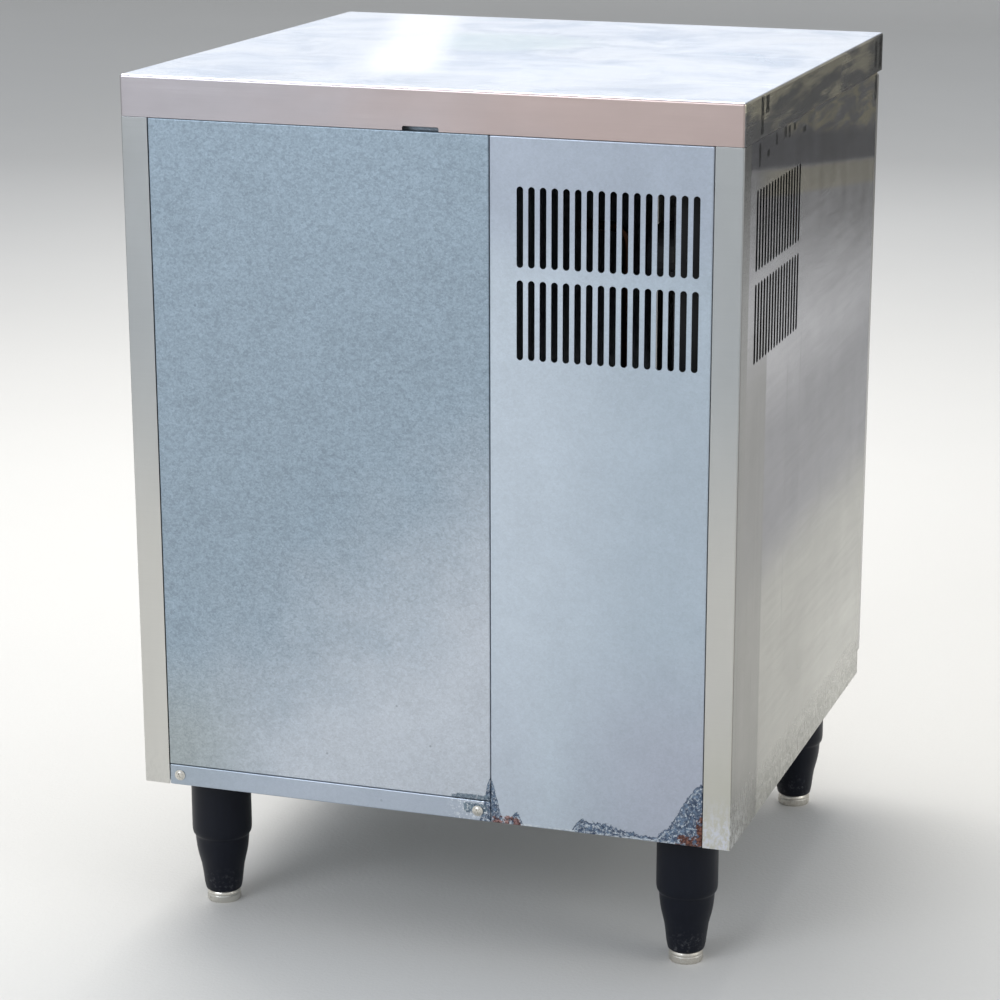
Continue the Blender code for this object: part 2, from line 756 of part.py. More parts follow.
def build_lever():
    pivot = Vector((AXIS_X, LEVER_Y, LEVER_Z))
    short = Vector((0, math.cos(LEVER_REST), -math.sin(LEVER_REST)))
    long = Vector((0, -math.cos(LEVER_LONG_RISE), math.sin(LEVER_LONG_RISE)))
    tip = pivot + short * LEVER_SHORT_ARM
    end = pivot + long * LEVER_LONG_ARM
    hub_start = pivot - Vector((0.0080, 0, 0))
    lever = cylinders("draw_lever", [hub_start], 0.016, 0.0075, "X", "stainless", 24, pivot)
    for name, far, thick in (("lever_short_arm", tip, 0.0026), ("lever_long_arm", end, 0.0045)):
        combine(lever, bar(name, pivot, far, thick), "UNION")
    tip_start = tip - Vector((0.0070, 0, 0))
    combine(lever, cylinders("lever_tip", [tip_start], 0.014, 0.0040, "X", segments=20), "UNION")
    bore_start = pivot - Vector((0.020, 0, 0))
    combine(lever, cylinders("lever_bore", [bore_start], 0.040, 0.0033, "X", segments=16))
    shape = bmesh.new()
    facing = Vector((0, 0, 1)).rotation_difference(long).to_matrix().to_4x4()
    stretch = Matrix.Diagonal((1, 1, 1.25, 1))
    centre = Matrix.Translation(end + long * -0.004)
    bmesh.ops.create_uvsphere(
        shape, u_segments=14, v_segments=8, radius=0.0105, matrix=centre @ facing @ stretch
    )
    knob = from_bmesh("lever_knob", shape, "black_plastic", pivot)
    combine(knob, bar("knob_socket", pivot, end - long * 0.006, 0.0048))
    # The arm ends inside the knob's socket, short of its bottom.
    stop_low = end - long * 0.0065
    combine(lever, bar("lever_arm_end", stop_low, end + long * 0.020, 0.0060))


def bar(name, start, end, radius):
    """A round bar between two points, for joining to or cutting from another piece."""
    run = end - start
    facing = Vector((0, 0, 1)).rotation_difference(run).to_matrix().to_4x4()
    shape = bmesh.new()
    bmesh.ops.create_cone(
        shape,
        cap_ends=True,
        segments=16,
        radius1=radius,
        radius2=radius,
        depth=run.length,
        matrix=Matrix.Translation((start + end) / 2) @ facing,
    )
    return from_bmesh(name, shape, None)


def build_tray():
    rim_z = 0.4203
    back_y = PANEL_FRONT_Y - 0.0053
    bracket = box(
        "tray_bracket",
        (0.015, PANEL_FRONT_Y - 0.0033, 0.3932),
        (0.221, PANEL_FRONT_Y - GAP, 0.455),
        "stainless",
    )
    arms = [
        ((x, -0.320, 0.4090), (x + 0.006, PANEL_FRONT_Y - 0.001, rim_z - GAP))
        for x in (0.015, 0.215)
    ]
    combine(bracket, boxes("tray_arms", arms), "UNION")

    origin = (AXIS_X, back_y, TRAY_Z)
    low = Vector((0.024, TRAY_FRONT_Y, TRAY_Z))
    high = Vector((0.212, back_y, 0.4215))
    tray = box("drip_tray", low, high, "stainless", origin=origin)
    rim_low = (0.0165, TRAY_FRONT_Y, rim_z)
    rim_high = (0.2195, back_y, rim_z + 0.0022)
    combine(tray, box("tray_rim", rim_low, rim_high), "UNION")
    wall = Vector((0.002, 0.002, 0.002))
    hollow_high = Vector((high.x - wall.x, high.y - wall.y, high.z + 0.01))
    combine(tray, box("tray_hollow", low + wall, hollow_high))
    grille_z = 0.4180
    ledge_width = 0.006
    ledges = [
        ((x, low.y + 0.001, grille_z - GAP - 0.002), (x + ledge_width, high.y - 0.001, grille_z - GAP))
        for x in (low.x + 0.001, high.x - 0.001 - ledge_width)
    ]
    combine(tray, boxes("tray_ledges", ledges), "UNION")

    low = Vector((0.0275, TRAY_FRONT_Y + 0.0035, grille_z))
    high = Vector((0.2085, back_y - 0.0035, 0.4205))
    origin = (AXIS_X, (low.y + high.y) / 2, low.z)
    grille = box("drip_grille", low, high, "stainless", origin=origin)
    margin = 0.015
    pitch = (high.x - low.x - 2 * margin) / GRILLE_SLOTS
    gap_low = Vector((low.x + margin + 0.003, low.y + 0.018, low.z - 0.005))
    gap_high = Vector((low.x + margin + pitch - 0.003, high.y - 0.018, high.z + 0.005))
    steps = [Vector((pitch * n, 0, 0)) for n in range(GRILLE_SLOTS)]
    combine(grille, boxes("grille_gaps", [(gap_low + step, gap_high + step) for step in steps]))


def pulley_profile(groove, shaft, tail):
    """From the shaft's end at the tail, over the two flanges, to the flat face."""
    flange = groove + 0.005
    web = groove * 0.80
    half = PULLEY_WIDTH / 2
    face = PULLEY_WIDTH
    return [
        (0, face),
        (shaft + 0.006, face),
        (shaft + 0.006, half + 0.003),
        (web, half + 0.003),
        (web, face),
        (flange, face),
        (flange, face - 0.0025),
        (groove, face - 0.0025),
        (groove, 0.0025),
        (flange, 0.0025),
        (flange, 0),
        (shaft, 0),
        (shaft, -tail),
        (0, -tail),
    ]


def build_drive():
    half = 0.055
    gearbox = box(
        "gearbox",
        (AXIS_X - half, BARREL_REAR_Y + 0.009, AXIS_Z - half),
        (AXIS_X + half, 0.1495, AXIS_Z + half),
        "cast_iron",
        0.005,
    )
    hub_start = (AXIS_X, BARREL_REAR_Y + GAP, AXIS_Z)
    combine(gearbox, cylinders("gearbox_hub", [hub_start], 0.012, 0.022, "Y"), "UNION")
    bore_start = (AXIS_X, BARREL_REAR_Y - 0.002, AXIS_Z)
    combine(gearbox, cylinders("output_bore", [bore_start], 0.030, 0.0083, "Y"))
    input_start = (AXIS_X, 0.135, AXIS_Z)
    combine(gearbox, cylinders("input_bore", [input_start], 0.030, 0.0104, "Y"))

    plate = box("drive_plate", (0.036, 0.150, 0.1421), (0.200, 0.153, 0.745), "galvanised")
    hole_start = (AXIS_X, 0.140, AXIS_Z)
    combine(plate, cylinders("input_hole", [hole_start], 0.030, 0.014, "Y"))
    base = [((0.060, 0.151, 0.1421), (0.176, 0.325, 0.1451))]
    base += [((0.070, y, 0.1441), (0.166, y + 0.003, 0.262)) for y in (0.215, 0.297)]
    for number, corners in enumerate(base):
        combine(plate, boxes(f"motor_stand_{number}", [corners]), "UNION")
    cradle_start = (AXIS_X, 0.205, MOTOR_Z)
    combine(plate, cylinders("motor_cradle", [cradle_start], 0.110, 0.067, "Y", segments=40))

    motor = [
        (0, 0.136),
        (0.030, 0.136),
        (0.050, 0.130),
        (0.066, 0.118),
        (0.066, 0.016),
        (0.050, 0.006),
        (0.030, 0),
        (0.0074, 0),
        (0.0074, 0.012),
        (0, 0.012),
    ]
    turned("beater_motor", motor, "cast_iron", (AXIS_X, 0.190, MOTOR_Z), "Y", 20)
    big = pulley_profile(BIG_PULLEY, 0.010, 0.022)
    turned("gearbox_pulley", big, "cast_iron", (AXIS_X, PULLEY_Y, AXIS_Z), "Y", 28)
    small_face = PULLEY_Y + PULLEY_WIDTH
    small = turned(
        "motor_pulley",
        pulley_profile(SMALL_PULLEY, 0.007, 0.018),
        "cast_iron",
        (AXIS_X, small_face, MOTOR_Z),
        "Y",
        16,
    )
    small.rotation_euler = Matrix.Rotation(math.pi / 2, 4, "X").to_euler()
    build_belt()


def build_belt():
    """A strip round both pulleys, closed on itself and given its thickness by Solidify."""
    inner = BELT_CLEARANCE
    lean = math.asin((BIG_PULLEY - SMALL_PULLEY) / (AXIS_Z - MOTOR_Z))
    steps = 22
    loop = []
    for centre_z, radius, start, sweep in (
        (AXIS_Z, BIG_PULLEY + inner, -lean, math.pi + 2 * lean),
        (MOTOR_Z, SMALL_PULLEY + inner, math.pi + lean, math.pi - 2 * lean),
    ):
        for step in range(steps + 1):
            angle = start + sweep * step / steps
            loop.append((AXIS_X + radius * math.cos(angle), centre_z + radius * math.sin(angle)))
    middle = PULLEY_Y + PULLEY_WIDTH / 2
    shape = bmesh.new()
    rings = [
        [shape.verts.new((x, middle + side * BELT_WIDTH / 2, z)) for x, z in loop]
        for side in (-1, 1)
    ]
    count = len(loop)
    for n in range(count):
        after = (n + 1) % count
        shape.faces.new((rings[0][n], rings[0][after], rings[1][after], rings[1][n]))
    bmesh.ops.recalc_face_normals(shape, faces=shape.faces)
    belt = from_bmesh("drive_belt", shape, "rubber")
    solid = belt.modifiers.new("belt", "SOLIDIFY")
    solid.thickness = BELT_THICKNESS
    solid.offset = 1


def build_cooling():
    centre = Vector((-0.180, -0.060, LEG_HEIGHT + 0.0021))
    dome = [
        (0, 0.200),
        (0.040, 0.197),
        (0.062, 0.184),
        (0.074, 0.160),
        (0.075, 0.060),
        (0.070, 0.034),
        (0.050, 0.014),
        (0, 0.012),
    ]
    compressor = turned("compressor", dome, "cast_iron", centre, "Z", 24)
    plate_low = centre + Vector((-0.090, -0.070, 0.013))
    plate_high = centre + Vector((0.090, 0.070, 0.017))
    combine(compressor, box("compressor_plate", plate_low, plate_high), "UNION")
    spots = [centre + Vector((x, y, 0)) for x in (-0.078, 0.078) for y in (-0.058, 0.058)]
    mounts = cylinders("compressor_mounts", spots, 0.015, 0.010, "Z", segments=16)
    combine(compressor, mounts, "UNION")

    low = Vector((-0.288, FAN_Y - 0.100, FAN_Z - 0.098))
    high = Vector((-0.254, FAN_Y + 0.100, FAN_Z + 0.098))
    condenser = box("condenser", low, high, "aluminium")
    pitch = (high.y - low.y) / FIN_GROOVES
    half_fin = 0.0012
    groove_low = Vector((low.x - 0.002, low.y + half_fin, low.z - 0.01))
    groove_high = Vector((low.x + FIN_GROOVE_DEPTH, low.y + pitch - half_fin, high.z + 0.01))
    steps = [Vector((0, pitch * n, 0)) for n in range(FIN_GROOVES)]
    grooves = [(groove_low + step, groove_high + step) for step in steps]
    combine(condenser, boxes("fin_grooves", grooves))
    build_fan(low, high)

    discharge = [
        centre + Vector((0.030, 0, 0.197 + 0.004)),
        centre + Vector((0.030, 0, 0.300)),
        (-0.271, -0.060, 0.560),
        (-0.271, FAN_Y - 0.150, FAN_Z + 0.060),
        (-0.271, FAN_Y - 0.100 - GAP, FAN_Z + 0.060),
    ]
    tube("discharge_line", discharge, 0.004, 0.020, "copper")
    suction = [
        (AXIS_X - BARREL_OUTER - 0.0004, 0.060, AXIS_Z),
        (-0.110, 0.060, AXIS_Z),
        (-0.110, 0.060, 0.420),
        (-0.200, -0.060, 0.400),
        centre + Vector((-0.020, 0, 0.197 + 0.004)),
    ]
    tube("suction_line", suction, 0.005, 0.020, "copper")


def build_fan(low, high):
    """Shroud, blade and motor in a row behind the condenser, blowing out of the side vents."""
    shroud_low = (high.x + GAP, low.y, low.z)
    shroud_high = (high.x + 0.026, high.y, high.z)
    shroud = box("fan_shroud", shroud_low, shroud_high, "galvanised")
    duct_start = (high.x - 0.01, FAN_Y, FAN_Z)
    combine(shroud, cylinders("fan_duct", [duct_start], 0.060, 0.090, "X", segments=40))
    hub_x = high.x + 0.008
    origin = (hub_x, FAN_Y, FAN_Z)
    fan = cylinders("fan_blade", [origin], 0.014, 0.020, "X", "aluminium", 24, origin)
    shape = bmesh.new()
    pitched = Matrix.Rotation(BLADE_PITCH, 4, "Z")
    middle = Matrix.Translation((hub_x + 0.007, FAN_Y, FAN_Z))
    for n in range(FAN_BLADES):
        verts = add_box(shape, (-0.0009, -0.024, 0.012), (0.0009, 0.024, 0.084))
        spin = Matrix.Rotation(2 * math.pi * n / FAN_BLADES, 4, "X")
        bmesh.ops.transform(shape, matrix=middle @ spin @ pitched, verts=verts)
    combine(fan, from_bmesh("fan_blades", shape, None), "UNION")
    motor_x = high.x + 0.0265
    motor = [(0, 0.046), (0.026, 0.046), (0.032, 0.040), (0.032, 0.006), (0.020, 0), (0, 0)]
    fan_motor = turned("fan_motor", motor, "cast_iron", (motor_x, FAN_Y, FAN_Z), "X", 28)
    face = Vector((motor_x, FAN_Y, FAN_Z))
    thick = Vector((0.003, 0, 0))
    for number, reach in enumerate((Vector((0, 0.099, 0.004)), Vector((0, 0.004, 0.096)))):
        arm = box(f"fan_arm_{number}", face - reach, face + reach + thick)
        combine(fan_motor, arm, "UNION")


clear_scene()
PARTS = new_collection("soft_serve_machine")
CUTTERS = new_collection("cutters")
build_cabinet()
build_rear()
build_partition()
build_front()
build_controls()
build_legs()
build_mix_cabinet()
build_mix_tank()
build_barrel()
build_head()
build_tray()
build_drive()
build_cooling()
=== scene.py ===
"""Looks of a free-standing soft serve machine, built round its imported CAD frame.

Metres in the row frame: +Z up, X to the right seen from the front, Y to the rear. The machine
side, with the vents, is at -X.
"""

import json
import math

import bmesh
import bpy
from mathutils import Matrix, Vector

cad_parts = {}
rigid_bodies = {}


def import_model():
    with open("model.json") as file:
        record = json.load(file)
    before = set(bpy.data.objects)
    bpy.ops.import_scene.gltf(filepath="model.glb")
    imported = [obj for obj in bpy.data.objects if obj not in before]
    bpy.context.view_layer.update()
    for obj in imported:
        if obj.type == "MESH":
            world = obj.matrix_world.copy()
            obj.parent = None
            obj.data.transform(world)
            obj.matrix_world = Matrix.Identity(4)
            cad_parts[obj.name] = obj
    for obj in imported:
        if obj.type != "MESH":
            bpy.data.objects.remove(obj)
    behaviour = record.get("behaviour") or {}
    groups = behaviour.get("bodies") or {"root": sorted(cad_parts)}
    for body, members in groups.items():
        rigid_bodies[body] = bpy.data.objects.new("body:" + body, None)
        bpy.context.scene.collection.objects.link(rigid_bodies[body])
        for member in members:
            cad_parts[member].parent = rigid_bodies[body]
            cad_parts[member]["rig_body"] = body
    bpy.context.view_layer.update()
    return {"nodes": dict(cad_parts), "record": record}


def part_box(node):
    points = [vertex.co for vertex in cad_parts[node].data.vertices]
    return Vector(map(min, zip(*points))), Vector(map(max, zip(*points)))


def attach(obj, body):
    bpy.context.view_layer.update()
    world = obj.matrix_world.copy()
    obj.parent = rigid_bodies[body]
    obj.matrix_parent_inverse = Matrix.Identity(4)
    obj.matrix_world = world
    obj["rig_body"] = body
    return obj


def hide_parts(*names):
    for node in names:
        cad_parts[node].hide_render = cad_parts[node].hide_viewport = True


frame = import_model()

# A screw's clearance, sheet thicknesses, the radius of a bend, the least rounding of a corner,
# and how far a cutter stands past a sheet.
GAP = 0.0003
SHEET = 0.0012
THICK_SHEET = 0.0015
BEND = 0.0022
LEAST_CORNER = 0.0003
CUT = 0.005
SLOTS_PER_ROW = 16
SLOT_WIDTH = 0.0063
SLOT_LENGTH = 0.074
SLOT_ROWS_Z = (0.7182, 0.6327)
REAR_SLOT_PITCH = 0.011
REAR_SLOTS_X = -0.1749
SIDE_SLOT_PITCH = 0.0109
SIDE_SLOTS_Y = 0.2125
PIVOT_Z = 0.774
LEVER_SHORT = 0.022
LEVER_REST = math.radians(25)
RAIL_SCREWS = ("rail_screw_left", "rail_screw_right")
HINGE_PIN = (0.292, -0.2225)
LOUVRES_X = (-0.271, -0.091)
LOUVRES_Z = 0.215
LOUVRE_PITCH = 0.019
LOUVRE_ROWS = 14
BUTTONS_X = (-0.236, -0.206)
BUTTON_Z = 0.715

# Each mark of old tape is (y, half its width, low z, high z).
SKIRT_TAPE = (
    (0.284, 0.009, 0.803, 0.838),
    (0.266, 0.012, 0.82, 0.837),
    (-0.2, 0.009, 0.806, 0.834),
    (-0.222, 0.012, 0.803, 0.838),
    (-0.248, 0.009, 0.812, 0.838),
)
PANEL_TAPE = (
    (0.29, 0.007, 0.775, 0.797),
    (0.258, 0.008, 0.78, 0.787),
    (0.228, 0.006, 0.786, 0.798),
    (0.194, 0.009, 0.788, 0.799),
    (0.178, 0.007, 0.786, 0.798),
    (0.158, 0.008, 0.79, 0.798),
    (0.118, 0.011, 0.783, 0.789),
    (-0.206, 0.012, 0.772, 0.799),
)

OUT_OF_FRONT = Matrix.Rotation(math.pi / 2, 4, "X")
OUT_OF_REAR = Matrix.Rotation(-math.pi / 2, 4, "X")
ALONG_X = Matrix.Rotation(math.pi / 2, 4, "Y")
UPRIGHT = Matrix.Identity(4)

SLOT_OF = {part["node"]: part["material_slot"] for part in frame["record"]["subparts"]}


def rgb(code):
    """A colour written as RRGGBB, in the linear values that shaders take."""
    parts = [int(code[n : n + 2], 16) / 255 for n in (0, 2, 4)]
    return (*[c / 12.92 if c <= 0.04045 else ((c + 0.055) / 1.055) ** 2.4 for c in parts], 1)


# ---- Materials ------------------------------------------------------------------------------


class Value:
    """A number inside a material, with the usual arithmetic made of Math nodes."""

    def __init__(self, finish, socket):
        self.finish = finish
        self.socket = socket

    def math(self, operation, *others):
        node = self.finish.add("ShaderNodeMath", operation=operation)
        for socket, value in zip(node.inputs, (self, *others)):
            self.finish.feed(socket, value)
        return Value(self.finish, node.outputs[0])

    def __add__(self, other):
        return self.math("ADD", other)

    def __sub__(self, other):
        return self.math("SUBTRACT", other)

    def __mul__(self, other):
        return self.math("MULTIPLY", other)

    def size(self):
        return self.math("ABSOLUTE")

    def most(self, other):
        return self.math("MAXIMUM", other)

    def ramp(self, low, high):
        """Smoothly from 0 at low to 1 at high. It falls where low is above high."""
        node = self.finish.add("ShaderNodeMapRange", interpolation_type="SMOOTHSTEP")
        for name, value in (("Value", self), ("From Min", low), ("From Max", high)):
            self.finish.feed(node.inputs[name], value)
        return Value(self.finish, node.outputs["Result"])

    def near(self, spot, reach):
        """1 at spot, falling to 0 at a distance of reach."""
        return (self - spot).size().ramp(reach, 0)

    def inside(self, low, high, soft):
        """1 between low and high, with soft ends."""
        return self.ramp(low - soft, low + soft) * self.ramp(high + soft, high - soft)


class Finish:
    """A material in the making. Its coordinates are the row frame's and ride with each piece."""

    def __init__(self, name, metallic=0.0, **shader_values):
        self.material = bpy.data.materials.new(name)
        self.material.use_nodes = True
        self.tree = self.material.node_tree
        self.shader = self.tree.nodes["Principled BSDF"]
        self.shader.inputs["Metallic"].default_value = metallic
        for key, value in shader_values.items():
            self.shader.inputs[key.replace("_", " ")].default_value = value
        where = self.add("ShaderNodeTexCoord")
        self.point = where.outputs["Object"]
        self.x, self.y, self.z = self.split(self.point)
        self.facing = dict(zip("xyz", self.split(where.outputs["Normal"])))

    def add(self, kind, **settings):
        node = self.tree.nodes.new(kind)
        for key, value in settings.items():
            setattr(node, key, value)
        return node

    def feed(self, socket, value):
        if isinstance(value, Value):
            value = value.socket
        if isinstance(value, bpy.types.NodeSocket):
            self.tree.links.new(value, socket)
        elif socket.type == "VECTOR":
            socket.default_value = value[:3]
        else:
            socket.default_value = value

    def split(self, vector):
        node = self.add("ShaderNodeSeparateXYZ")
        self.feed(node.inputs[0], vector)
        return [Value(self, socket) for socket in node.outputs]

    def scaled(self, grain):
        """The point, divided by the size of the grain in each direction."""
        node = self.add("ShaderNodeVectorMath", operation="DIVIDE")
        self.feed(node.inputs[0], self.point)
        self.feed(node.inputs[1], grain if isinstance(grain, tuple) else (grain,) * 3)
        return node.outputs[0]

    def noise(self, grain, detail=2.0, rough=0.5, twist=0.0):
        """Noise round 0, about -0.5 to 0.5. The grain is one size or one for each direction."""
        node = self.add("ShaderNodeTexNoise")
        self.feed(node.inputs["Vector"], self.scaled(grain))
        self.feed(node.inputs["Scale"], 1.0)
        self.feed(node.inputs["Detail"], detail)
        self.feed(node.inputs["Roughness"], rough)
        self.feed(node.inputs["Distortion"], twist)
        return Value(self, node.outputs[0]) - 0.5

    def crystals(self, grain):
        """A number from 0 to 1 for each of the irregular cells of that size."""
        node = self.add("ShaderNodeTexVoronoi")
        self.feed(node.inputs["Vector"], self.scaled(grain))
        self.feed(node.inputs["Scale"], 1.0)
        return self.split(node.outputs["Color"])[0]

    def specks(self, grain, share):
        """1 in small dots, one for some of the cells of that size: share says how large."""
        node = self.add("ShaderNodeTexVoronoi")
        self.feed(node.inputs["Vector"], self.scaled(grain))
        self.feed(node.inputs["Scale"], 1.0)
        keep = self.split(node.outputs["Color"])[1].ramp(0.62, 0.66)
        return Value(self, node.outputs["Distance"]).ramp(share, share * 0.6) * keep

    def mix(self, factor, first, second):
        node = self.add("ShaderNodeMix", data_type="RGBA")
        colours = [socket for socket in node.inputs if socket.type == "RGBA"]
        self.feed(node.inputs[0], factor)
        for socket, colour in zip(colours, (first, second)):
            self.feed(socket, rgb(colour) if isinstance(colour, str) else colour)
        return [socket for socket in node.outputs if socket.type == "RGBA"][0]

    def shade(self, colour, amount):
        """The colour made lighter or darker by a share, such as 0.05 for five per cent."""
        node = self.add("ShaderNodeVectorMath", operation="SCALE")
        self.feed(node.inputs[0], rgb(colour) if isinstance(colour, str) else colour)
        self.feed(node.inputs["Scale"], amount + 1.0)
        return node.outputs[0]

    def bump(self, height, depth):
        node = self.add("ShaderNodeBump")
        self.feed(node.inputs["Height"], height)
        self.feed(node.inputs["Distance"], depth)
        self.feed(self.shader.inputs["Normal"], node.outputs[0])

    def matt(self, mask):
        """Takes the metal's shine away where the mask is 1, which keeps it dark edge-on too."""
        metallic = self.shader.inputs["Metallic"]
        self.feed(metallic, mask * -metallic.default_value + metallic.default_value)
        self.feed(self.shader.inputs["Specular IOR Level"], mask * -0.45 + 0.5)

    def done(self, colour, roughness):
        self.feed(self.shader.inputs["Base Color"], colour)
        self.feed(self.shader.inputs["Roughness"], roughness)
        return self.material


def brushed(finish, plane):
    """Long fine lines of a brushed sheet: level on upright faces, along X on a flat top."""
    grain = {"upright": (0.25, 0.25, 0.0009), "top": (0.25, 0.0009, 0.25)}[plane]
    fine = tuple(size * 0.35 for size in grain)
    return finish.noise(grain, 3, 0.6) + finish.noise(fine, 2, 0.5)


def stainless(name, tone="b3b2ae", rough=0.28, wear=0.1):
    """Plain brushed stainless for fittings and hidden parts."""
    f = Finish(name, metallic=1.0)
    lines = brushed(f, "upright")
    cloud = f.noise(0.06, 3)
    smears = f.noise((0.02, 0.02, 0.05), 4, 0.65).ramp(0.08, 0.35)
    f.bump(lines, 0.00003)
    return f.done(f.shade(tone, lines * 0.1 + cloud * 0.16), lines * 0.1 + smears * wear + rough)


def streaks(f, marks):
    """Black upright streaks of old tape: each is (y, half its width, low z, high z)."""
    wander = f.noise((0.01, 0.01, 0.006), 3, 0.7) * 0.006
    torn = f.noise((0.006, 0.0015, 0.008), 3, 0.75).ramp(-0.11, -0.05)
    black = f.y * 0.0
    for y, width, low, high in marks:
        line = (f.y + wander).near(y, width).ramp(0.15, 0.55)
        black = black.most(line * f.z.inside(low, high, 0.0015))
    return black * torn


def worktop_steel():
    """The worktop: a bright hazy top with painted highlights, a warm rear skirt and darker skirts at the
    sides, the vented one mottled with painted reflection.
    """
    f = Finish("worktop_steel", metallic=1.0)
    low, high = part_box("worktop")
    top_lines = brushed(f, "top")
    lines = brushed(f, "upright")
    cloud = f.noise(0.11, 3, 0.55, 0.6)
    warm = f.mix((f.x + cloud * 0.25).ramp(0.25, -0.2), "bdb9be", "c1b0ac")
    warm = f.shade(warm, f.noise((0.03, 0.03, 0.01), 3, 0.6) * 0.08 + lines * 0.05)
    # Painted reflection on the vented side's skirt: dark and light patches, darker lower down and towards
    # the front; the other skirt is a plain grey.
    patches = f.noise((0.09, 0.09, 0.012), 3, 0.55, 0.4) + (f.z - high.z) * 4.0 + 0.08
    side = f.mix(patches.ramp(-0.1, 0.14), "77777a", "cdc7b2")
    side = f.mix(f.y.ramp(low.y + 0.1, low.y + 0.015), side, "5a5a58")
    vented_side = f.x.ramp(0, -0.1)
    side = f.mix(vented_side, "9a9a98", side)
    tape = streaks(f, SKIRT_TAPE) * vented_side
    side = f.mix(tape, side, "08090b")
    haze = f.noise(0.09, 4, 0.6, 0.5)
    ring = ((f.x - 0.06).math("POWER", 2.0) + (f.y * 1.3 + 0.02).math("POWER", 2.0)).math("SQRT")
    rubbed = (ring + f.noise(0.05, 3) * 0.03).ramp(0.135, 0.06) * 0.1
    halo = (ring + f.noise(0.05, 3) * 0.03).near(0.115, 0.03)
    stain = rubbed + halo * f.noise(0.02, 4, 0.8).ramp(-0.1, 0.2) * 0.25
    top = f.mix((haze + stain).ramp(-0.15, 0.25), "ced5e0", "a4b1c4")
    top = f.mix(rubbed * 4.0, top, "b4cacb")
    # Painted highlights on the top: a bright diagonal glare band and pale streaks along X.
    painted_glare = (f.x + f.y * 0.3).inside(0.1, 0.17, 0.02) * f.y.ramp(0.3, 0.2)
    top = f.mix(painted_glare * 0.7, top, "f4f6fa")
    top = f.mix(f.noise((0.9, 0.012, 0.9), 2).ramp(0.1, 0.3) * 0.4, top, "f4f6f9")
    on_top = f.facing["z"].ramp(0.6, 0.9)
    on_side = f.facing["x"].size().ramp(0.5, 0.8)
    worn = f.specks(0.013, 0.11) * f.facing["y"].ramp(0.5, 0.8)
    colour = f.mix(on_side, warm, side)
    colour = f.mix(on_top, f.mix(worn * 0.5, colour, "6d6462"), top)
    f.matt(tape * on_side)
    rough = on_top * -0.1 + on_side * -0.08 + haze * 0.12 + lines * 0.06 + 0.34
    f.bump(lines * (on_top * -1.0 + 1.0) + top_lines * on_top + cloud * 3.0, 0.00003)
    return f.done(colour, rough)


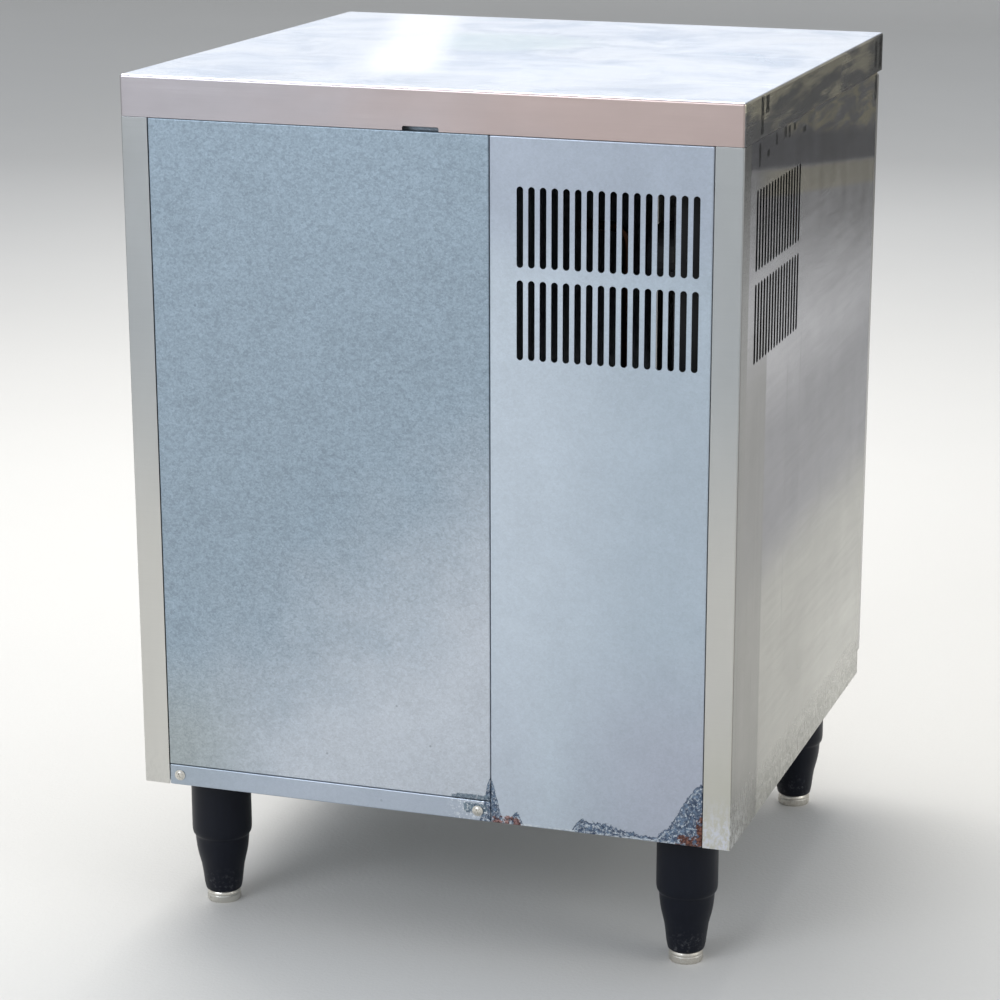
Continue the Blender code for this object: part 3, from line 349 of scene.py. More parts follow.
def panel_steel():
    """The folded side panels: polished sides with soft dark bands of painted reflection, painted shade in
    the vent slots, and pale returns at the rear.
    """
    f = Finish("panel_steel", metallic=1.0)
    low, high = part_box("side_panel_left")
    lines = brushed(f, "upright")
    warp = f.noise((0.14, 0.14, 0.05), 2, 0.5)
    z = f.z + warp * 0.03
    # Painted reflection on both side panels: light high up, a dark band below it, lighter again lower down
    # and low towards the front, broken into soft bands by noise.
    bands = f.noise((0.3, 0.1, 0.006), 4, 0.6, 0.3)
    body = f.mix(z.ramp(0.6, 0.5), "b8b8bd", "7a7b82")
    body = f.mix(z.ramp(0.43, 0.34), body, "9e9e98")
    body = f.mix(f.y.ramp(0.2, -0.15) * z.ramp(0.42, 0.18) * 0.8, body, "b8b8b2")
    body = f.shade(body, bands * 0.45 + f.noise((0.2, 0.13, 0.06), 3, 0.6, 0.5) * 0.35)
    # Painted reflection along the top of the vented side: a strip that is dark at its foot and grey with
    # olive patches above, and a pale band just under it towards the front.
    over = f.z + bands * 0.004 - (f.y * 0.12 + 0.738)
    olive = f.noise((0.07, 0.07, 0.012), 3, 0.6, 0.5).ramp(-0.06, 0.12) * f.y.ramp(0.28, 0.12)
    top = f.mix(over.ramp(0.024, 0.04), "6c6c76", f.mix(olive, "8a8a90", "bdb59c"))
    vented_side = f.x.ramp(0, -0.1)
    pale = over.inside(-0.026, -0.002, 0.003) * f.y.ramp(0.32, 0.22) * vented_side
    body = f.mix(pale * 0.8, body, "cbc5b2")
    body = f.mix(over.ramp(-0.003, 0.003) * vented_side, body, top)
    # Painted reflection on the vented side: a dark upright band with fine upright lines near the rear below
    # mid height, and a narrow one the full height at the rear edge; darker lower down.
    upright_lines = f.noise((0.0022, 0.0022, 0.6), 3, 0.6)
    edge = f.y.ramp(high.y - 0.102, high.y - 0.096) * f.z.ramp(0.66, 0.56) * 0.9
    edge = edge.most(f.y.ramp(high.y - 0.026, high.y - 0.023))
    reflected_band = f.mix(f.z.ramp(high.z - 0.2, high.z - 0.06), "747470", "929290")
    body = f.mix(edge * vented_side * 0.8, body, f.shade(reflected_band, upright_lines * 0.9))
    drips = f.noise((0.5, 0.5, 0.012), 2) * 0.0015
    for spot, start, end in ((0.105, 0.585, 0.4), (0.052, 0.575, 0.3)):
        runs = (f.y + drips).near(SIDE_SLOTS_Y - spot, 0.0018) * f.z.inside(end, start, 0.02)
        body = f.mix(runs * vented_side * 0.45, body, "5f6064")
    tape = streaks(f, PANEL_TAPE) * vented_side
    body = f.mix(tape, body, "08090b")
    post = f.mix(f.z.ramp(0.62, 0.36), "b3b7b9", "cac9c4")
    post = f.mix(f.z.ramp(0.3, 0.16) * f.x.ramp(0, -0.1), post, "c9c8be")
    post = f.shade(post, lines * 0.05 + f.noise((0.03, 0.03, 0.09), 3) * 0.1)
    scuff = f.noise((0.005, 0.005, 0.01), 5, 0.8).ramp(-0.08, 0.1)
    at_foot = f.z.ramp(low.z + 0.06, low.z + 0.004)
    post = f.mix(scuff * at_foot * f.x.ramp(-0.2, -0.25), post, "dcdfe8")
    body = f.mix(scuff * at_foot * f.y.ramp(high.y - 0.1, high.y - 0.02) * 0.7, body, "dcdedf")
    on_post = f.facing["y"].size().ramp(0.5, 0.85)
    colour = f.mix(on_post, f.shade(body, lines * 0.1), post)
    # Painted shade: the walls of the vent slots are painted near black and matt.
    cut = f.facing["x"].size().ramp(0.8, 0.4) * f.y.inside(low.y + 0.01, high.y - 0.01, 0.002)
    cut = cut * f.z.inside(low.z + 0.01, high.z - 0.01, 0.002)
    colour = f.mix(cut, colour, "101112")
    f.matt(cut.most(tape * (on_post * -1.0 + 1.0)))
    smears = f.noise((0.05, 0.05, 0.09), 4, 0.6)
    rough = smears * 0.12 + lines * 0.05 + scuff * at_foot * 0.25 + on_post * 0.1 + 0.24
    f.bump(lines + warp * 14.0, 0.00003)
    return f.done(colour, rough)


def zinc_base(f, colour, mottle):
    """Galvanised sheet: crystals and a fine grain over the given colour."""
    crystal = f.crystals((0.0042, 0.0042, 0.0036)) - 0.5
    small = f.crystals((0.0017, 0.0017, 0.0015)) - 0.5
    grain = f.noise(0.0011, 2)
    cloud = f.noise(0.07, 4, 0.6) * 0.16 + f.noise(0.018, 3, 0.6) * 0.06
    return f.shade(colour, (crystal * 0.12 + small * 0.2 + grain * 0.24) * mottle + cloud)


def corrosion(f, colour, edge_height):
    """Peeled zinc up to a ragged height over the bottom edge: slate, with a white crust."""
    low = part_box("rear_panel_vented")[0]
    ragged = f.noise(0.008, 5, 0.75) * 0.016 + f.noise(0.0018, 3, 0.7) * 0.006
    depth = edge_height + ragged * edge_height.ramp(0.0, 0.006) - (f.z - low.z)
    there = edge_height.ramp(0.001, 0.003)
    slate = depth.ramp(-0.0002, 0.0007) * there
    crumbs = f.noise(0.003, 4, 0.8)
    crust = depth.near(0.0042, 0.003) * crumbs.ramp(-0.04, 0.05)
    crust = crust.most(depth.ramp(0.004, 0.01) * crumbs.ramp(0.02, 0.1)) * there
    tone = f.mix(f.noise(0.004, 4, 0.7).ramp(-0.12, 0.18), "35455e", "748aa2")
    tone = f.mix(depth.near(0.0004, 0.0013) * 0.8, tone, "222d42")
    colour = f.mix(slate * 0.92, colour, tone)
    return f.mix(crust * 0.9, colour, "dde4ea"), slate, crust


def rust(f, colour, where, pale="9a6248"):
    """Rust in ragged patches inside the given area."""
    patches = f.noise(0.007, 5, 0.75)
    tone = f.mix(f.noise(0.003, 3, 0.7).ramp(-0.1, 0.15), "4d3028", pale)
    return f.mix((where * (patches * 3.2 + 0.6)).ramp(0.36, 0.5) * 0.9, colour, tone)


def vented_zinc():
    """The smooth rear panel on the machine side, corroded along its bottom edge."""
    f = Finish("vented_zinc", metallic=0.85)
    low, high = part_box("rear_panel_vented")
    # Painted light: the panel is lighter towards the split, and painted shade makes it darker towards the
    # top, under the worktop.
    across = f.x.ramp(high.x - 0.01, low.x + 0.03)
    colour = f.mix(across, "c2cdd8", "b2bfcb")
    colour = f.mix(f.z.ramp(0.66, 0.74) * 0.8, colour, "a9b2c0")
    colour = f.mix(f.z.ramp(0.36, 0.2) * across.math("SUBTRACT", 0.2).size(), colour, "b3b8c6")
    colour = zinc_base(f, colour, 0.35)
    spike = f.x.near(high.x, 0.018).math("POWER", 1.7) * 0.043
    cap = f.x.near(high.x - 0.025, 0.011) * 0.0125
    slope = f.x.ramp(low.x + 0.055, high.x - 0.105) * 0.008 + 0.005
    bump = f.x.ramp(high.x - 0.078, high.x - 0.09) * slope
    corner = f.x.ramp(low.x + 0.055, low.x).math("POWER", 1.5) * 0.057
    colour, slate, crust = corrosion(f, colour, spike + cap + bump + corner)
    above = f.z - low.z
    line = f.noise((0.004, 0.004, 0.0015), 3, 0.7).ramp(-0.05, 0.08) * above.ramp(0.0035, 0.0015)
    colour = f.mix(line * 0.8, colour, "dfe5ea")
    in_corner = f.x.ramp(low.x + 0.036, low.x + 0.016) * above.ramp(0.017, 0.007)
    in_corner = in_corner.most(f.x.ramp(low.x + 0.009, low.x + 0.003) * above.ramp(0.044, 0.024))
    colour = rust(f, colour, in_corner)
    beside_split = f.x.inside(high.x - 0.03, high.x, 0.003) * above.ramp(0.012, 0.006)
    colour = rust(f, colour, beside_split, "b98f89")
    stains = f.specks(0.028, 0.05)
    colour = f.mix(stains * 0.5, colour, "6b7680")
    # Painted shade: the walls of the vent slots are painted dark and matt.
    cut = f.facing["y"].size().ramp(0.8, 0.4) * f.z.ramp(SLOT_ROWS_Z[1] - 0.045, SLOT_ROWS_Z[1] - 0.04)
    cut = cut * f.z.ramp(SLOT_ROWS_Z[0] + 0.045, SLOT_ROWS_Z[0] + 0.04)
    cut = cut * f.x.inside(REAR_SLOTS_X - 0.092, REAR_SLOTS_X + 0.092, 0.001)
    colour = f.mix(cut, colour, "2a2d31")
    f.matt(cut)
    rough = slate * 0.25 + crust * 0.2 + f.noise(0.04, 3) * 0.12 + 0.4
    f.bump(f.noise(0.003, 2) * 0.3 + f.noise(0.1, 2) * 6.0 + crust * 5.0 - slate * 2.5, 0.00005)
    return f.done(colour, rough)


def insulated_zinc():
    """The mottled rear panel and the rail under it, peeled beside the split at the bottom."""
    f = Finish("insulated_zinc", metallic=0.85)
    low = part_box("rear_bottom_rail")[0]
    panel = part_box("rear_panel_insulated")[0]
    cloud = f.noise(0.09, 3, 0.55)
    # Painted light: the panel is lighter towards the bottom and the vented side, and its crystals show more
    # where it is darker.
    slope = (f.z * -1.2 + 0.744) + (f.x * -1.0 + 0.12) + cloud * 0.22
    light = slope.ramp(0.22, 0.58)
    colour = f.mix(light, "96a6b3", "c3cad3")
    colour = f.mix(f.z.ramp(0.3, 0.18) * f.x.ramp(0.15, 0.27), colour, "a2abae")
    mottle = light * -0.55 + 1.15
    colour = zinc_base(f, colour, mottle)
    on_rail = f.z.ramp(panel.z, panel.z - 0.0004)
    colour = f.mix(on_rail * 0.6, colour, "a7b3c3")
    spike = f.x.near(low.x, 0.014).math("POWER", 1.5) * 0.045
    colour, slate, crust = corrosion(f, colour, spike)
    ragged = f.noise(0.005, 5, 0.75)
    beside = f.x.ramp(low.x + 0.05, low.x + 0.03)
    seam = beside * f.z.near(panel.z + 0.002, 0.007)
    patch = f.x.inside(low.x + 0.003, low.x + 0.027, 0.004)
    patch = patch * f.z.inside(low.z + 0.007, low.z + 0.018, 0.002)
    peeled = (seam.most(patch) * (ragged * 2.4 + 0.8)).ramp(0.42, 0.52)
    colour = f.mix(peeled * 0.9, colour, f.mix(ragged.ramp(-0.1, 0.15), "4c5c6e", "7d909c"))
    flakes = f.noise(0.0028, 4, 0.8).ramp(0.03, 0.1) * beside
    flakes = flakes * f.z.ramp(panel.z + 0.008, panel.z - 0.004)
    scratches = f.noise((0.004, 0.004, 0.0009), 3, 0.6).ramp(0.12, 0.2)
    scratches = scratches * f.x.near(low.x + 0.165, 0.02) * f.z.near(panel.z + 0.001, 0.009)
    colour = f.mix(scratches.most(flakes) * 0.85, colour, "e6ebef")
    stains = f.specks(0.04, 0.045)
    colour = f.mix(stains * 0.6, colour, "66717c")
    rough = slate * 0.25 + crust * 0.2 + f.noise(0.03, 3) * 0.12 + light * -0.05 + 0.46
    height = f.noise(0.0028, 3) * mottle + f.noise(0.1, 2) * 6.0 + crust * 5.0 - slate * 2.5
    f.bump(height, 0.00006)
    return f.done(colour, rough)


def hidden_zinc():
    f = Finish("hidden_zinc", metallic=0.8)
    colour = zinc_base(f, "8f99a2", 0.8)
    f.bump(f.noise(0.003, 2), 0.00005)
    return f.done(colour, f.noise(0.03, 3) * 0.15 + 0.5)


def machined():
    """Screws and feet: turned steel with grime in its grain."""
    f = Finish("machined_steel", metallic=1.0)
    rings = f.noise((0.02, 0.02, 0.0005), 2)
    dirt = f.noise(0.006, 4, 0.7).ramp(0.04, 0.28)
    dusty = f.z.ramp(0.022, 0.004) * f.x.ramp(-0.15, -0.2) * f.noise(0.006, 4, 0.8).ramp(-0.12, 0.05)
    colour = f.mix(dirt * 0.5, f.shade("d6d4cd", rings * 0.15), "77726a")
    colour = f.mix(dusty, colour, "c9c5bd")
    f.bump(rings + dirt, 0.00004)
    return f.done(colour, dirt * 0.3 + rings * 0.1 + dusty * 0.3 + 0.3)


def moulded(name, tone, rough, fine=0.0009, depth=0.00003, dust="8b8d90", dusty=0.1):
    """Moulded plastic or rubber: a fine texture, with dust in patches and rubbed spots."""
    f = Finish(name)
    skin = f.noise(fine, 2)
    cloud = f.noise(0.03, 3, 0.6)
    patches = f.noise(0.012, 4, 0.7).ramp(0.05, 0.35)
    colour = f.mix(patches * dusty, f.shade(tone, cloud * 0.18 + skin * 0.08), dust)
    f.bump(skin + cloud, depth)
    return f.done(colour, skin * 0.1 + patches * 0.12 + rough)


def leg_plastic():
    """Navy black legs, greyed with dust towards the floor."""
    f = Finish("leg_plastic", Specular_IOR_Level=0.18)
    skin = f.noise(0.0011, 2)
    streaks = f.noise((0.004, 0.004, 0.05), 3, 0.6)
    dust = f.z.ramp(0.045, 0.022) * f.noise(0.004, 4, 0.75).ramp(0.0, 0.22)
    colour = f.shade("0e121c", streaks * 0.5 + skin * 0.12)
    f.bump(skin + streaks * 0.5, 0.00003)
    return f.done(f.mix(dust * 0.2, colour, "8c8d90"), dust * 0.25 + streaks * 0.12 + 0.42)


def copper():
    f = Finish("copper_pipe", metallic=1.0)
    tarnish = f.noise(0.012, 4, 0.65).ramp(-0.05, 0.3)
    colour = f.mix(tarnish * 0.6, "7d5442", "3d2a22")
    f.bump(f.noise(0.002, 2), 0.00003)
    return f.done(colour, tarnish * 0.3 + 0.28)


def cast_iron():
    f = Finish("cast_iron", metallic=0.35)
    grit = f.noise(0.0018, 3, 0.6)
    colour = f.mix(f.noise(0.02, 4, 0.6).ramp(0.1, 0.35) * 0.5, f.shade("24262a", grit * 0.3), "4f4a44")
    f.bump(grit, 0.00025)
    return f.done(colour, grit * 0.2 + 0.6)


def aluminium():
    # Painted shade: the aluminium parts inside the cabinet are painted near black, with darker patches.
    f = Finish("aluminium", metallic=1.0)
    dust = f.noise(0.008, 4, 0.7).ramp(-0.05, 0.3)
    colour = f.mix(dust * 0.6, f.shade("2e2f31", f.noise(0.002, 2) * 0.12), "1f1e1d")
    f.bump(f.noise(0.0015, 2), 0.00003)
    return f.done(colour, dust * 0.3 + 0.45)


FINISHES = {
    "stainless_top": worktop_steel(),
    "stainless_side": panel_steel(),
    "stainless_inner": stainless("inner_steel"),
    "galvanised_sheet": hidden_zinc(),
    "machined_steel": machined(),
    "black_plastic": moulded("black_plastic", "17181c", 0.4),
    "white_plastic": moulded("white_plastic", "dcdcd6", 0.34, dust="b9b4a6", dusty=0.18),
    "grey_plastic": moulded("grey_plastic", "7d8084", 0.45),
    "rubber": moulded("rubber", "1f2022", 0.75, fine=0.0006, depth=0.00006),
    "copper_pipe": copper(),
    "cast_iron": cast_iron(),
    "aluminium": aluminium(),
}
INNER_STEEL = FINISHES["stainless_inner"]
BLACK_PLASTIC = FINISHES["black_plastic"]
# Painted shade for the fan shroud: near black, with dust patches.
PAINTED_SHADE_DUSTY = moulded("painted_shade_dusty", "141517", 0.7, dust="3a3a39", dusty=0.35)
FRONT_STEEL = stainless("front_steel", "b9b9b6", 0.3, 0.12)
LEG_PLASTIC = leg_plastic()

# ---- Shapes ---------------------------------------------------------------------------------

drafts = []


def draft(shape):
    """A working object from a bmesh, to be cut and softened before it becomes a piece."""
    mesh = bpy.data.meshes.new("draft")
    shape.to_mesh(mesh)
    shape.free()
    obj = bpy.data.objects.new("draft", mesh)
    bpy.context.scene.collection.objects.link(obj)
    drafts.append(obj)
    return obj


def thicken(obj, wall):
    solid = obj.modifiers.new("wall", "SOLIDIFY")
    solid.thickness = wall
    solid.offset = -1
    solid.use_even_offset = True


def combine(obj, tool, operation="DIFFERENCE"):
    joined = obj.modifiers.new("combine", "BOOLEAN")
    joined.operation = operation
    joined.solver = "EXACT"
    joined.object = tool


def soften(obj, width, segments=2, angle=35):
    bevel = obj.modifiers.new("soften", "BEVEL")
    bevel.width = width
    bevel.segments = segments
    bevel.limit_method = "ANGLE"
    bevel.angle_limit = math.radians(angle)


def piece(name, obj, node=None, like=None, finish=None, sharp=40):
    """Settles a draft into a shown piece. It stands for the CAD node, or only rides like one."""
    if isinstance(obj, bmesh.types.BMesh):
        obj = draft(obj)
    depsgraph = bpy.context.evaluated_depsgraph_get()
    mesh = bpy.data.meshes.new_from_object(obj.evaluated_get(depsgraph))
    if not mesh.polygons:
        raise ValueError(f"{name} came out empty")
    made = bpy.data.objects.new(name, mesh)
    bpy.context.scene.collection.objects.link(made)
    for old in drafts:
        bpy.data.objects.remove(old)
    drafts.clear()
    slot = SLOT_OF[node or like]
    mesh.materials.clear()
    mesh.materials.append(finish or FINISHES[slot])
    mesh.shade_smooth()
    mesh.set_sharp_from_angle(angle=math.radians(sharp))
    weighted = made.modifiers.new("normals", "WEIGHTED_NORMAL")
    weighted.keep_sharp = True
    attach(made, frame["nodes"][node or like]["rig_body"])
    if node:
        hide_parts(node)
    return made


def add_box(shape, low, high):
    low, high = Vector(low), Vector(high)
    size = Matrix.Diagonal((*(high - low), 1))
    return bmesh.ops.create_cube(shape, size=1, matrix=Matrix.Translation((low + high) / 2) @ size)["verts"]


def boxes(corners):
    shape = bmesh.new()
    for low, high in corners:
        add_box(shape, low, high)
    return shape


def add_bar(shape, start, end, radius, segments=40):
    start, end = Vector(start), Vector(end)
    run = end - start
    facing = Vector((0, 0, 1)).rotation_difference(run).to_matrix().to_4x4()
    bmesh.ops.create_cone(
        shape,
        cap_ends=True,
        segments=segments,
        radius1=radius,
        radius2=radius,
        depth=run.length,
        matrix=Matrix.Translation((start + end) / 2) @ facing,
    )


def bars(ends, radius, segments=40):
    shape = bmesh.new()
    for start, end in ends:
        add_bar(shape, start, end, radius, segments)
    return shape


def bore(obj, start, end, radius, segments=40, operation="DIFFERENCE"):
    """Drills a round hole from start to end, or joins a round bar there."""
    combine(obj, draft(bars([(start, end)], radius, segments)), operation)


def box_of(node):
    """A CAD node's low and high corners, its middle and half its size."""
    low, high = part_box(node)
    return low, high, (low + high) / 2, (high - low) / 2


def folded(low, high, open_side, bend=BEND, wall=SHEET):
    """A tray of thin sheet with rounded bends. It has no side towards open_side."""
    shape = bmesh.new()
    add_box(shape, low, high)
    shape.normal_update()
    gone = [face for face in shape.faces if face.normal.dot(Vector(open_side)) > 0.9]
    bmesh.ops.delete(shape, geom=gone, context="FACES")
    bends = [edge for edge in shape.edges if len(edge.link_faces) == 2]
    bmesh.ops.bevel(shape, geom=bends, offset=bend, segments=5, profile=0.5, affect="EDGES")
    obj = draft(shape)
    thicken(obj, wall)
    return obj


def arc_corner(before, corner, after, radius, steps=6):
    """The rounding of one corner of an outline, from the side of before to the side of after."""
    back = (before - corner).normalized()
    on = (after - corner).normalized()
    centre = corner + (back + on) * radius
    turns = [math.pi / 2 * step / steps for step in range(steps + 1)]
    return [centre - (on * math.cos(t) + back * math.sin(t)) * radius for t in turns]


def bent_wall(corners, low_z, high_z, bend=BEND, wall=SHEET):
    """An upright sheet along an open outline, with rounded bends, made solid to its right."""
    corners = [Vector(corner) for corner in corners]
    outline = [corners[0]]
    for before, corner, after in zip(corners, corners[1:], corners[2:]):
        outline += arc_corner(before, corner, after, bend)
    outline.append(corners[-1])
    shape = bmesh.new()
    low = [shape.verts.new((*spot, low_z)) for spot in outline]
    high = [shape.verts.new((*spot, high_z)) for spot in outline]
    for n in range(len(outline) - 1):
        shape.faces.new((low[n + 1], low[n], high[n], high[n + 1]))
    obj = draft(shape)
    thicken(obj, wall)
    return obj


def rounded_rectangle(half_width, half_depth, radius, steps=7):
    spots = []
    for turn, (x, y) in enumerate(((1, 1), (-1, 1), (-1, -1), (1, -1))):
        for step in range(steps + 1):
            angle = math.pi / 2 * (turn + step / steps)
            reach = Vector((math.cos(angle), math.sin(angle))) * radius
            spots.append(Vector((x * (half_width - radius), y * (half_depth - radius))) + reach)
    return spots


def set_in(half_width, half_depth, rows):
    """Levels for stacked, from rows of (how far in from the rectangle, corner, height)."""
    return [(half_width - inset, half_depth - inset, corner, height) for inset, corner, height in rows]


def stacked(levels, spot, turn=UPRIGHT, ring=False):
    """A skin through rounded rectangles: each level is (half width, half depth, corner, height)."""
    shape = bmesh.new()
    place = Matrix.Translation(spot) @ turn
    rings = []
    for half_width, half_depth, corner, height in levels:
        outline = rounded_rectangle(half_width, half_depth, corner)
        rings.append([shape.verts.new(place @ Vector((*point, height))) for point in outline])
    pairs = list(zip(rings, rings[1:]))
    if ring:
        pairs.append((rings[-1], rings[0]))
    for lower, upper in pairs:
        for n in range(len(lower)):
            after = (n + 1) % len(lower)
            shape.faces.new((lower[n], lower[after], upper[after], upper[n]))
    if not ring:
        shape.faces.new(list(reversed(rings[0])))
        shape.faces.new(rings[-1])
    bmesh.ops.recalc_face_normals(shape, faces=shape.faces)
    return shape


def slab_levels(half_width, half_depth, corner, low, high, edge, steps=4):
    """The levels of a slab whose two faces meet its sides in a rounded edge."""
    turns = [math.pi / 2 * step / steps for step in range(steps + 1)]
    rounding = [(edge * (1 - math.sin(t)), edge * (1 - math.cos(t))) for t in turns]
    heights = [(inset, low + rise) for inset, rise in rounding]
    heights += [(inset, high - rise) for inset, rise in reversed(rounding)]
    return [
        (half_width - inset, half_depth - inset, max(corner - inset, LEAST_CORNER), height)
        for inset, height in heights
    ]


def slab(low, high, corner, edge, turn=UPRIGHT):
    """A rounded slab in the box from low to high, thin along the turned Z."""
    low, high = Vector(low), Vector(high)
    middle = (low + high) / 2
    half = (turn.inverted().to_3x3() @ (high - low)) / 2
    half = Vector([abs(x) for x in half])
    levels = slab_levels(half.x, half.y, corner, -half.z, half.z, edge)
    return stacked(levels, middle, turn)


def turned(profile, spot, turn=UPRIGHT, segments=64, ring=False):
    """A turned shape: the profile is (radius, height)."""
    shape = bmesh.new()
    place = Matrix.Translation(spot) @ turn
    rings = []
    for radius, height in profile:
        if radius == 0:
            rings.append([shape.verts.new(place @ Vector((0, 0, height)))] * segments)
            continue
        angles = [2 * math.pi * n / segments for n in range(segments)]
        circle = [Vector((radius * math.cos(a), radius * math.sin(a), height)) for a in angles]
        rings.append([shape.verts.new(place @ point) for point in circle])
    pairs = list(zip(rings, rings[1:]))
    if ring:
        pairs.append((rings[-1], rings[0]))
    for lower, upper in pairs:
        for n in range(segments):
            after = (n + 1) % segments
            corners = [lower[n], lower[after], upper[after], upper[n]]
            unlike = list(dict.fromkeys(corners))
            if len(unlike) > 2:
                shape.faces.new(unlike)
    bmesh.ops.recalc_face_normals(shape, faces=shape.faces)
    return shape


def tube(corners, radius, bend, steps=8):
    """A round bar along a route with rounded corners, as a mesh shape."""
    corners = [Vector(corner) for corner in corners]
    route = [corners[0]]
    for before, corner, after in zip(corners, corners[1:], corners[2:]):
        start = corner + (before - corner).normalized() * bend
        end = corner + (after - corner).normalized() * bend
        for step in range(steps + 1):
            t = step / steps
            route.append((1 - t) ** 2 * start + 2 * t * (1 - t) * corner + t**2 * end)
    route.append(corners[-1])
    curve = bpy.data.curves.new("route", "CURVE")
    curve.dimensions = "3D"
    curve.bevel_depth = radius
    curve.bevel_resolution = 6
    curve.use_fill_caps = True
    spline = curve.splines.new("POLY")
    spline.points.add(len(route) - 1)
    for point, spot in zip(spline.points, route):
        point.co = (*spot, 1)
    holder = bpy.data.objects.new("route", curve)
    mesh = bpy.data.meshes.new_from_object(holder)
    bpy.data.objects.remove(holder)
    shape = bmesh.new()
    shape.from_mesh(mesh)
    bmesh.ops.remove_doubles(shape, verts=shape.verts, dist=0.00001)
    bmesh.ops.recalc_face_normals(shape, faces=shape.faces)
    return shape


def slots(centres, across, through):
    """Upright slots with round ends, to be cut through a sheet."""
    segments = 24
    across, through = Vector(across), Vector(through)
    stretch = (SLOT_LENGTH - SLOT_WIDTH) / 2
    shape = bmesh.new()
    for centre in centres:
        ring = []
        for n in range(segments):
            angle = 2 * math.pi * (n + 0.5) / segments
            rise = SLOT_WIDTH / 2 * math.sin(angle) + math.copysign(stretch, math.sin(angle))
            spot = Vector(centre) + across * SLOT_WIDTH / 2 * math.cos(angle) + Vector((0, 0, rise))
            ring.append(shape.verts.new(spot - through * CUT))
        face = shape.faces.new(ring)
        pushed = bmesh.ops.extrude_face_region(shape, geom=[face])["geom"]
        moved = [v for v in pushed if isinstance(v, bmesh.types.BMVert)]
        bmesh.ops.translate(shape, vec=through * 2 * CUT, verts=moved)
    bmesh.ops.recalc_face_normals(shape, faces=shape.faces)
    return shape


def slot_centres(middle, pitch):
    """The middles of both rows of slots, along a row and up."""
    offsets = [pitch * (n - (SLOTS_PER_ROW - 1) / 2) for n in range(SLOTS_PER_ROW)]
    return [(middle + offset, z) for z in SLOT_ROWS_Z for offset in offsets]


# ---- Cabinet --------------------------------------------------------------------------------


def build_worktop():
    low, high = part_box("worktop")
    worktop = folded(low, high, (0, 0, -1), 0.0026, THICK_SHEET)
    notch_low = (-0.015, high.y - CUT, low.z - 0.004)
    notch_high = (0.02, high.y + CUT, low.z + 0.004)
    notch = draft(boxes([(notch_low, notch_high)]))
    soften(notch, 0.0016, 3)
    combine(worktop, notch)
    soften(worktop, 0.0003)
    piece("worktop_sheet", worktop, "worktop")


def build_side_panels():
    for name, side, fold in (("side_panel_left", -1, 0.015), ("side_panel_right", 1, 0.003)):
        low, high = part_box(name)
        outer = high.x if side > 0 else low.x
        inner = low.x if side > 0 else high.x
        corners = [(outer - side * fold, low.y), (outer, low.y), (outer, high.y), (inner, high.y)]
        if side > 0:
            corners.reverse()
        panel = bent_wall(corners, low.z, high.z, 0.0018)
        if side < 0:
            centres = [(outer, y, z) for y, z in slot_centres(SIDE_SLOTS_Y, SIDE_SLOT_PITCH)]
            combine(panel, draft(slots(centres, (0, 1, 0), (1, 0, 0))))
        soften(panel, 0.00035)
        piece(f"{name}_sheet", panel, name)


def build_rear_panels():
    inward = (0, -1, 0)
    low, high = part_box("rear_panel_vented")
    vented = folded(low, high, inward, 0.0014)
    centres = [(x, high.y, z) for x, z in slot_centres(REAR_SLOTS_X, REAR_SLOT_PITCH)]
    combine(vented, draft(slots(centres, (1, 0, 0), (0, 1, 0))))
    soften(vented, 0.00035)
    piece("rear_panel_vented_sheet", vented, "rear_panel_vented", finish=vented_zinc())
    finish = insulated_zinc()
    insulated = folded(*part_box("rear_panel_insulated"), inward, 0.0012)
    soften(insulated, 0.0003)
    piece("rear_panel_insulated_sheet", insulated, "rear_panel_insulated", finish=finish)
    low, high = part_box("rear_bottom_rail")
    rail = folded(low, high, inward, 0.0012)
    centres = [box_of(name)[2] for name in RAIL_SCREWS]
    ends = [((c.x, high.y - CUT, c.z), (c.x, high.y + CUT, c.z)) for c in centres]
    combine(rail, draft(bars(ends, 0.0027)))
    soften(rail, 0.0003)
    piece("rear_bottom_rail_sheet", rail, "rear_bottom_rail", finish=finish)


def pan_screw(spot, turn, head=0.0054, height=0.0024, shank=0.006):
    """A pan-head screw with a washer face and a cross recess, standing on spot."""
    profile = [
        (0, height), (head * 0.4, height * 0.97), (head * 0.62, height * 0.84),
        (head * 0.76, height * 0.6), (head * 0.8, height * 0.46), (head * 0.98, height * 0.4),
        (head, height * 0.3), (head, GAP), (head * 0.4, GAP), (head * 0.4, -shank), (0, -shank),
    ]
    screw = draft(turned(profile, spot, turn, 40))
    arm, thin, deep = head * 0.46, head * 0.09, height * 0.45
    twist = Matrix.Rotation(math.radians(24), 4, "Z")
    for reach in ((arm, thin), (thin, arm)):
        slot = boxes([((-reach[0], -reach[1], height - deep), (reach[0], reach[1], height + 0.001))])
        bmesh.ops.transform(slot, matrix=Matrix.Translation(spot) @ turn @ twist, verts=slot.verts)
        combine(screw, draft(slot))
    soften(screw, 0.00012)
    return screw


def build_screws():
    rear_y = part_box("rear_bottom_rail")[1].y
    for name in RAIL_SCREWS:
        middle = box_of(name)[2]
        spot = Vector((middle.x, rear_y, middle.z))
        piece(f"{name}_head", pan_screw(spot, OUT_OF_REAR), name, sharp=50)


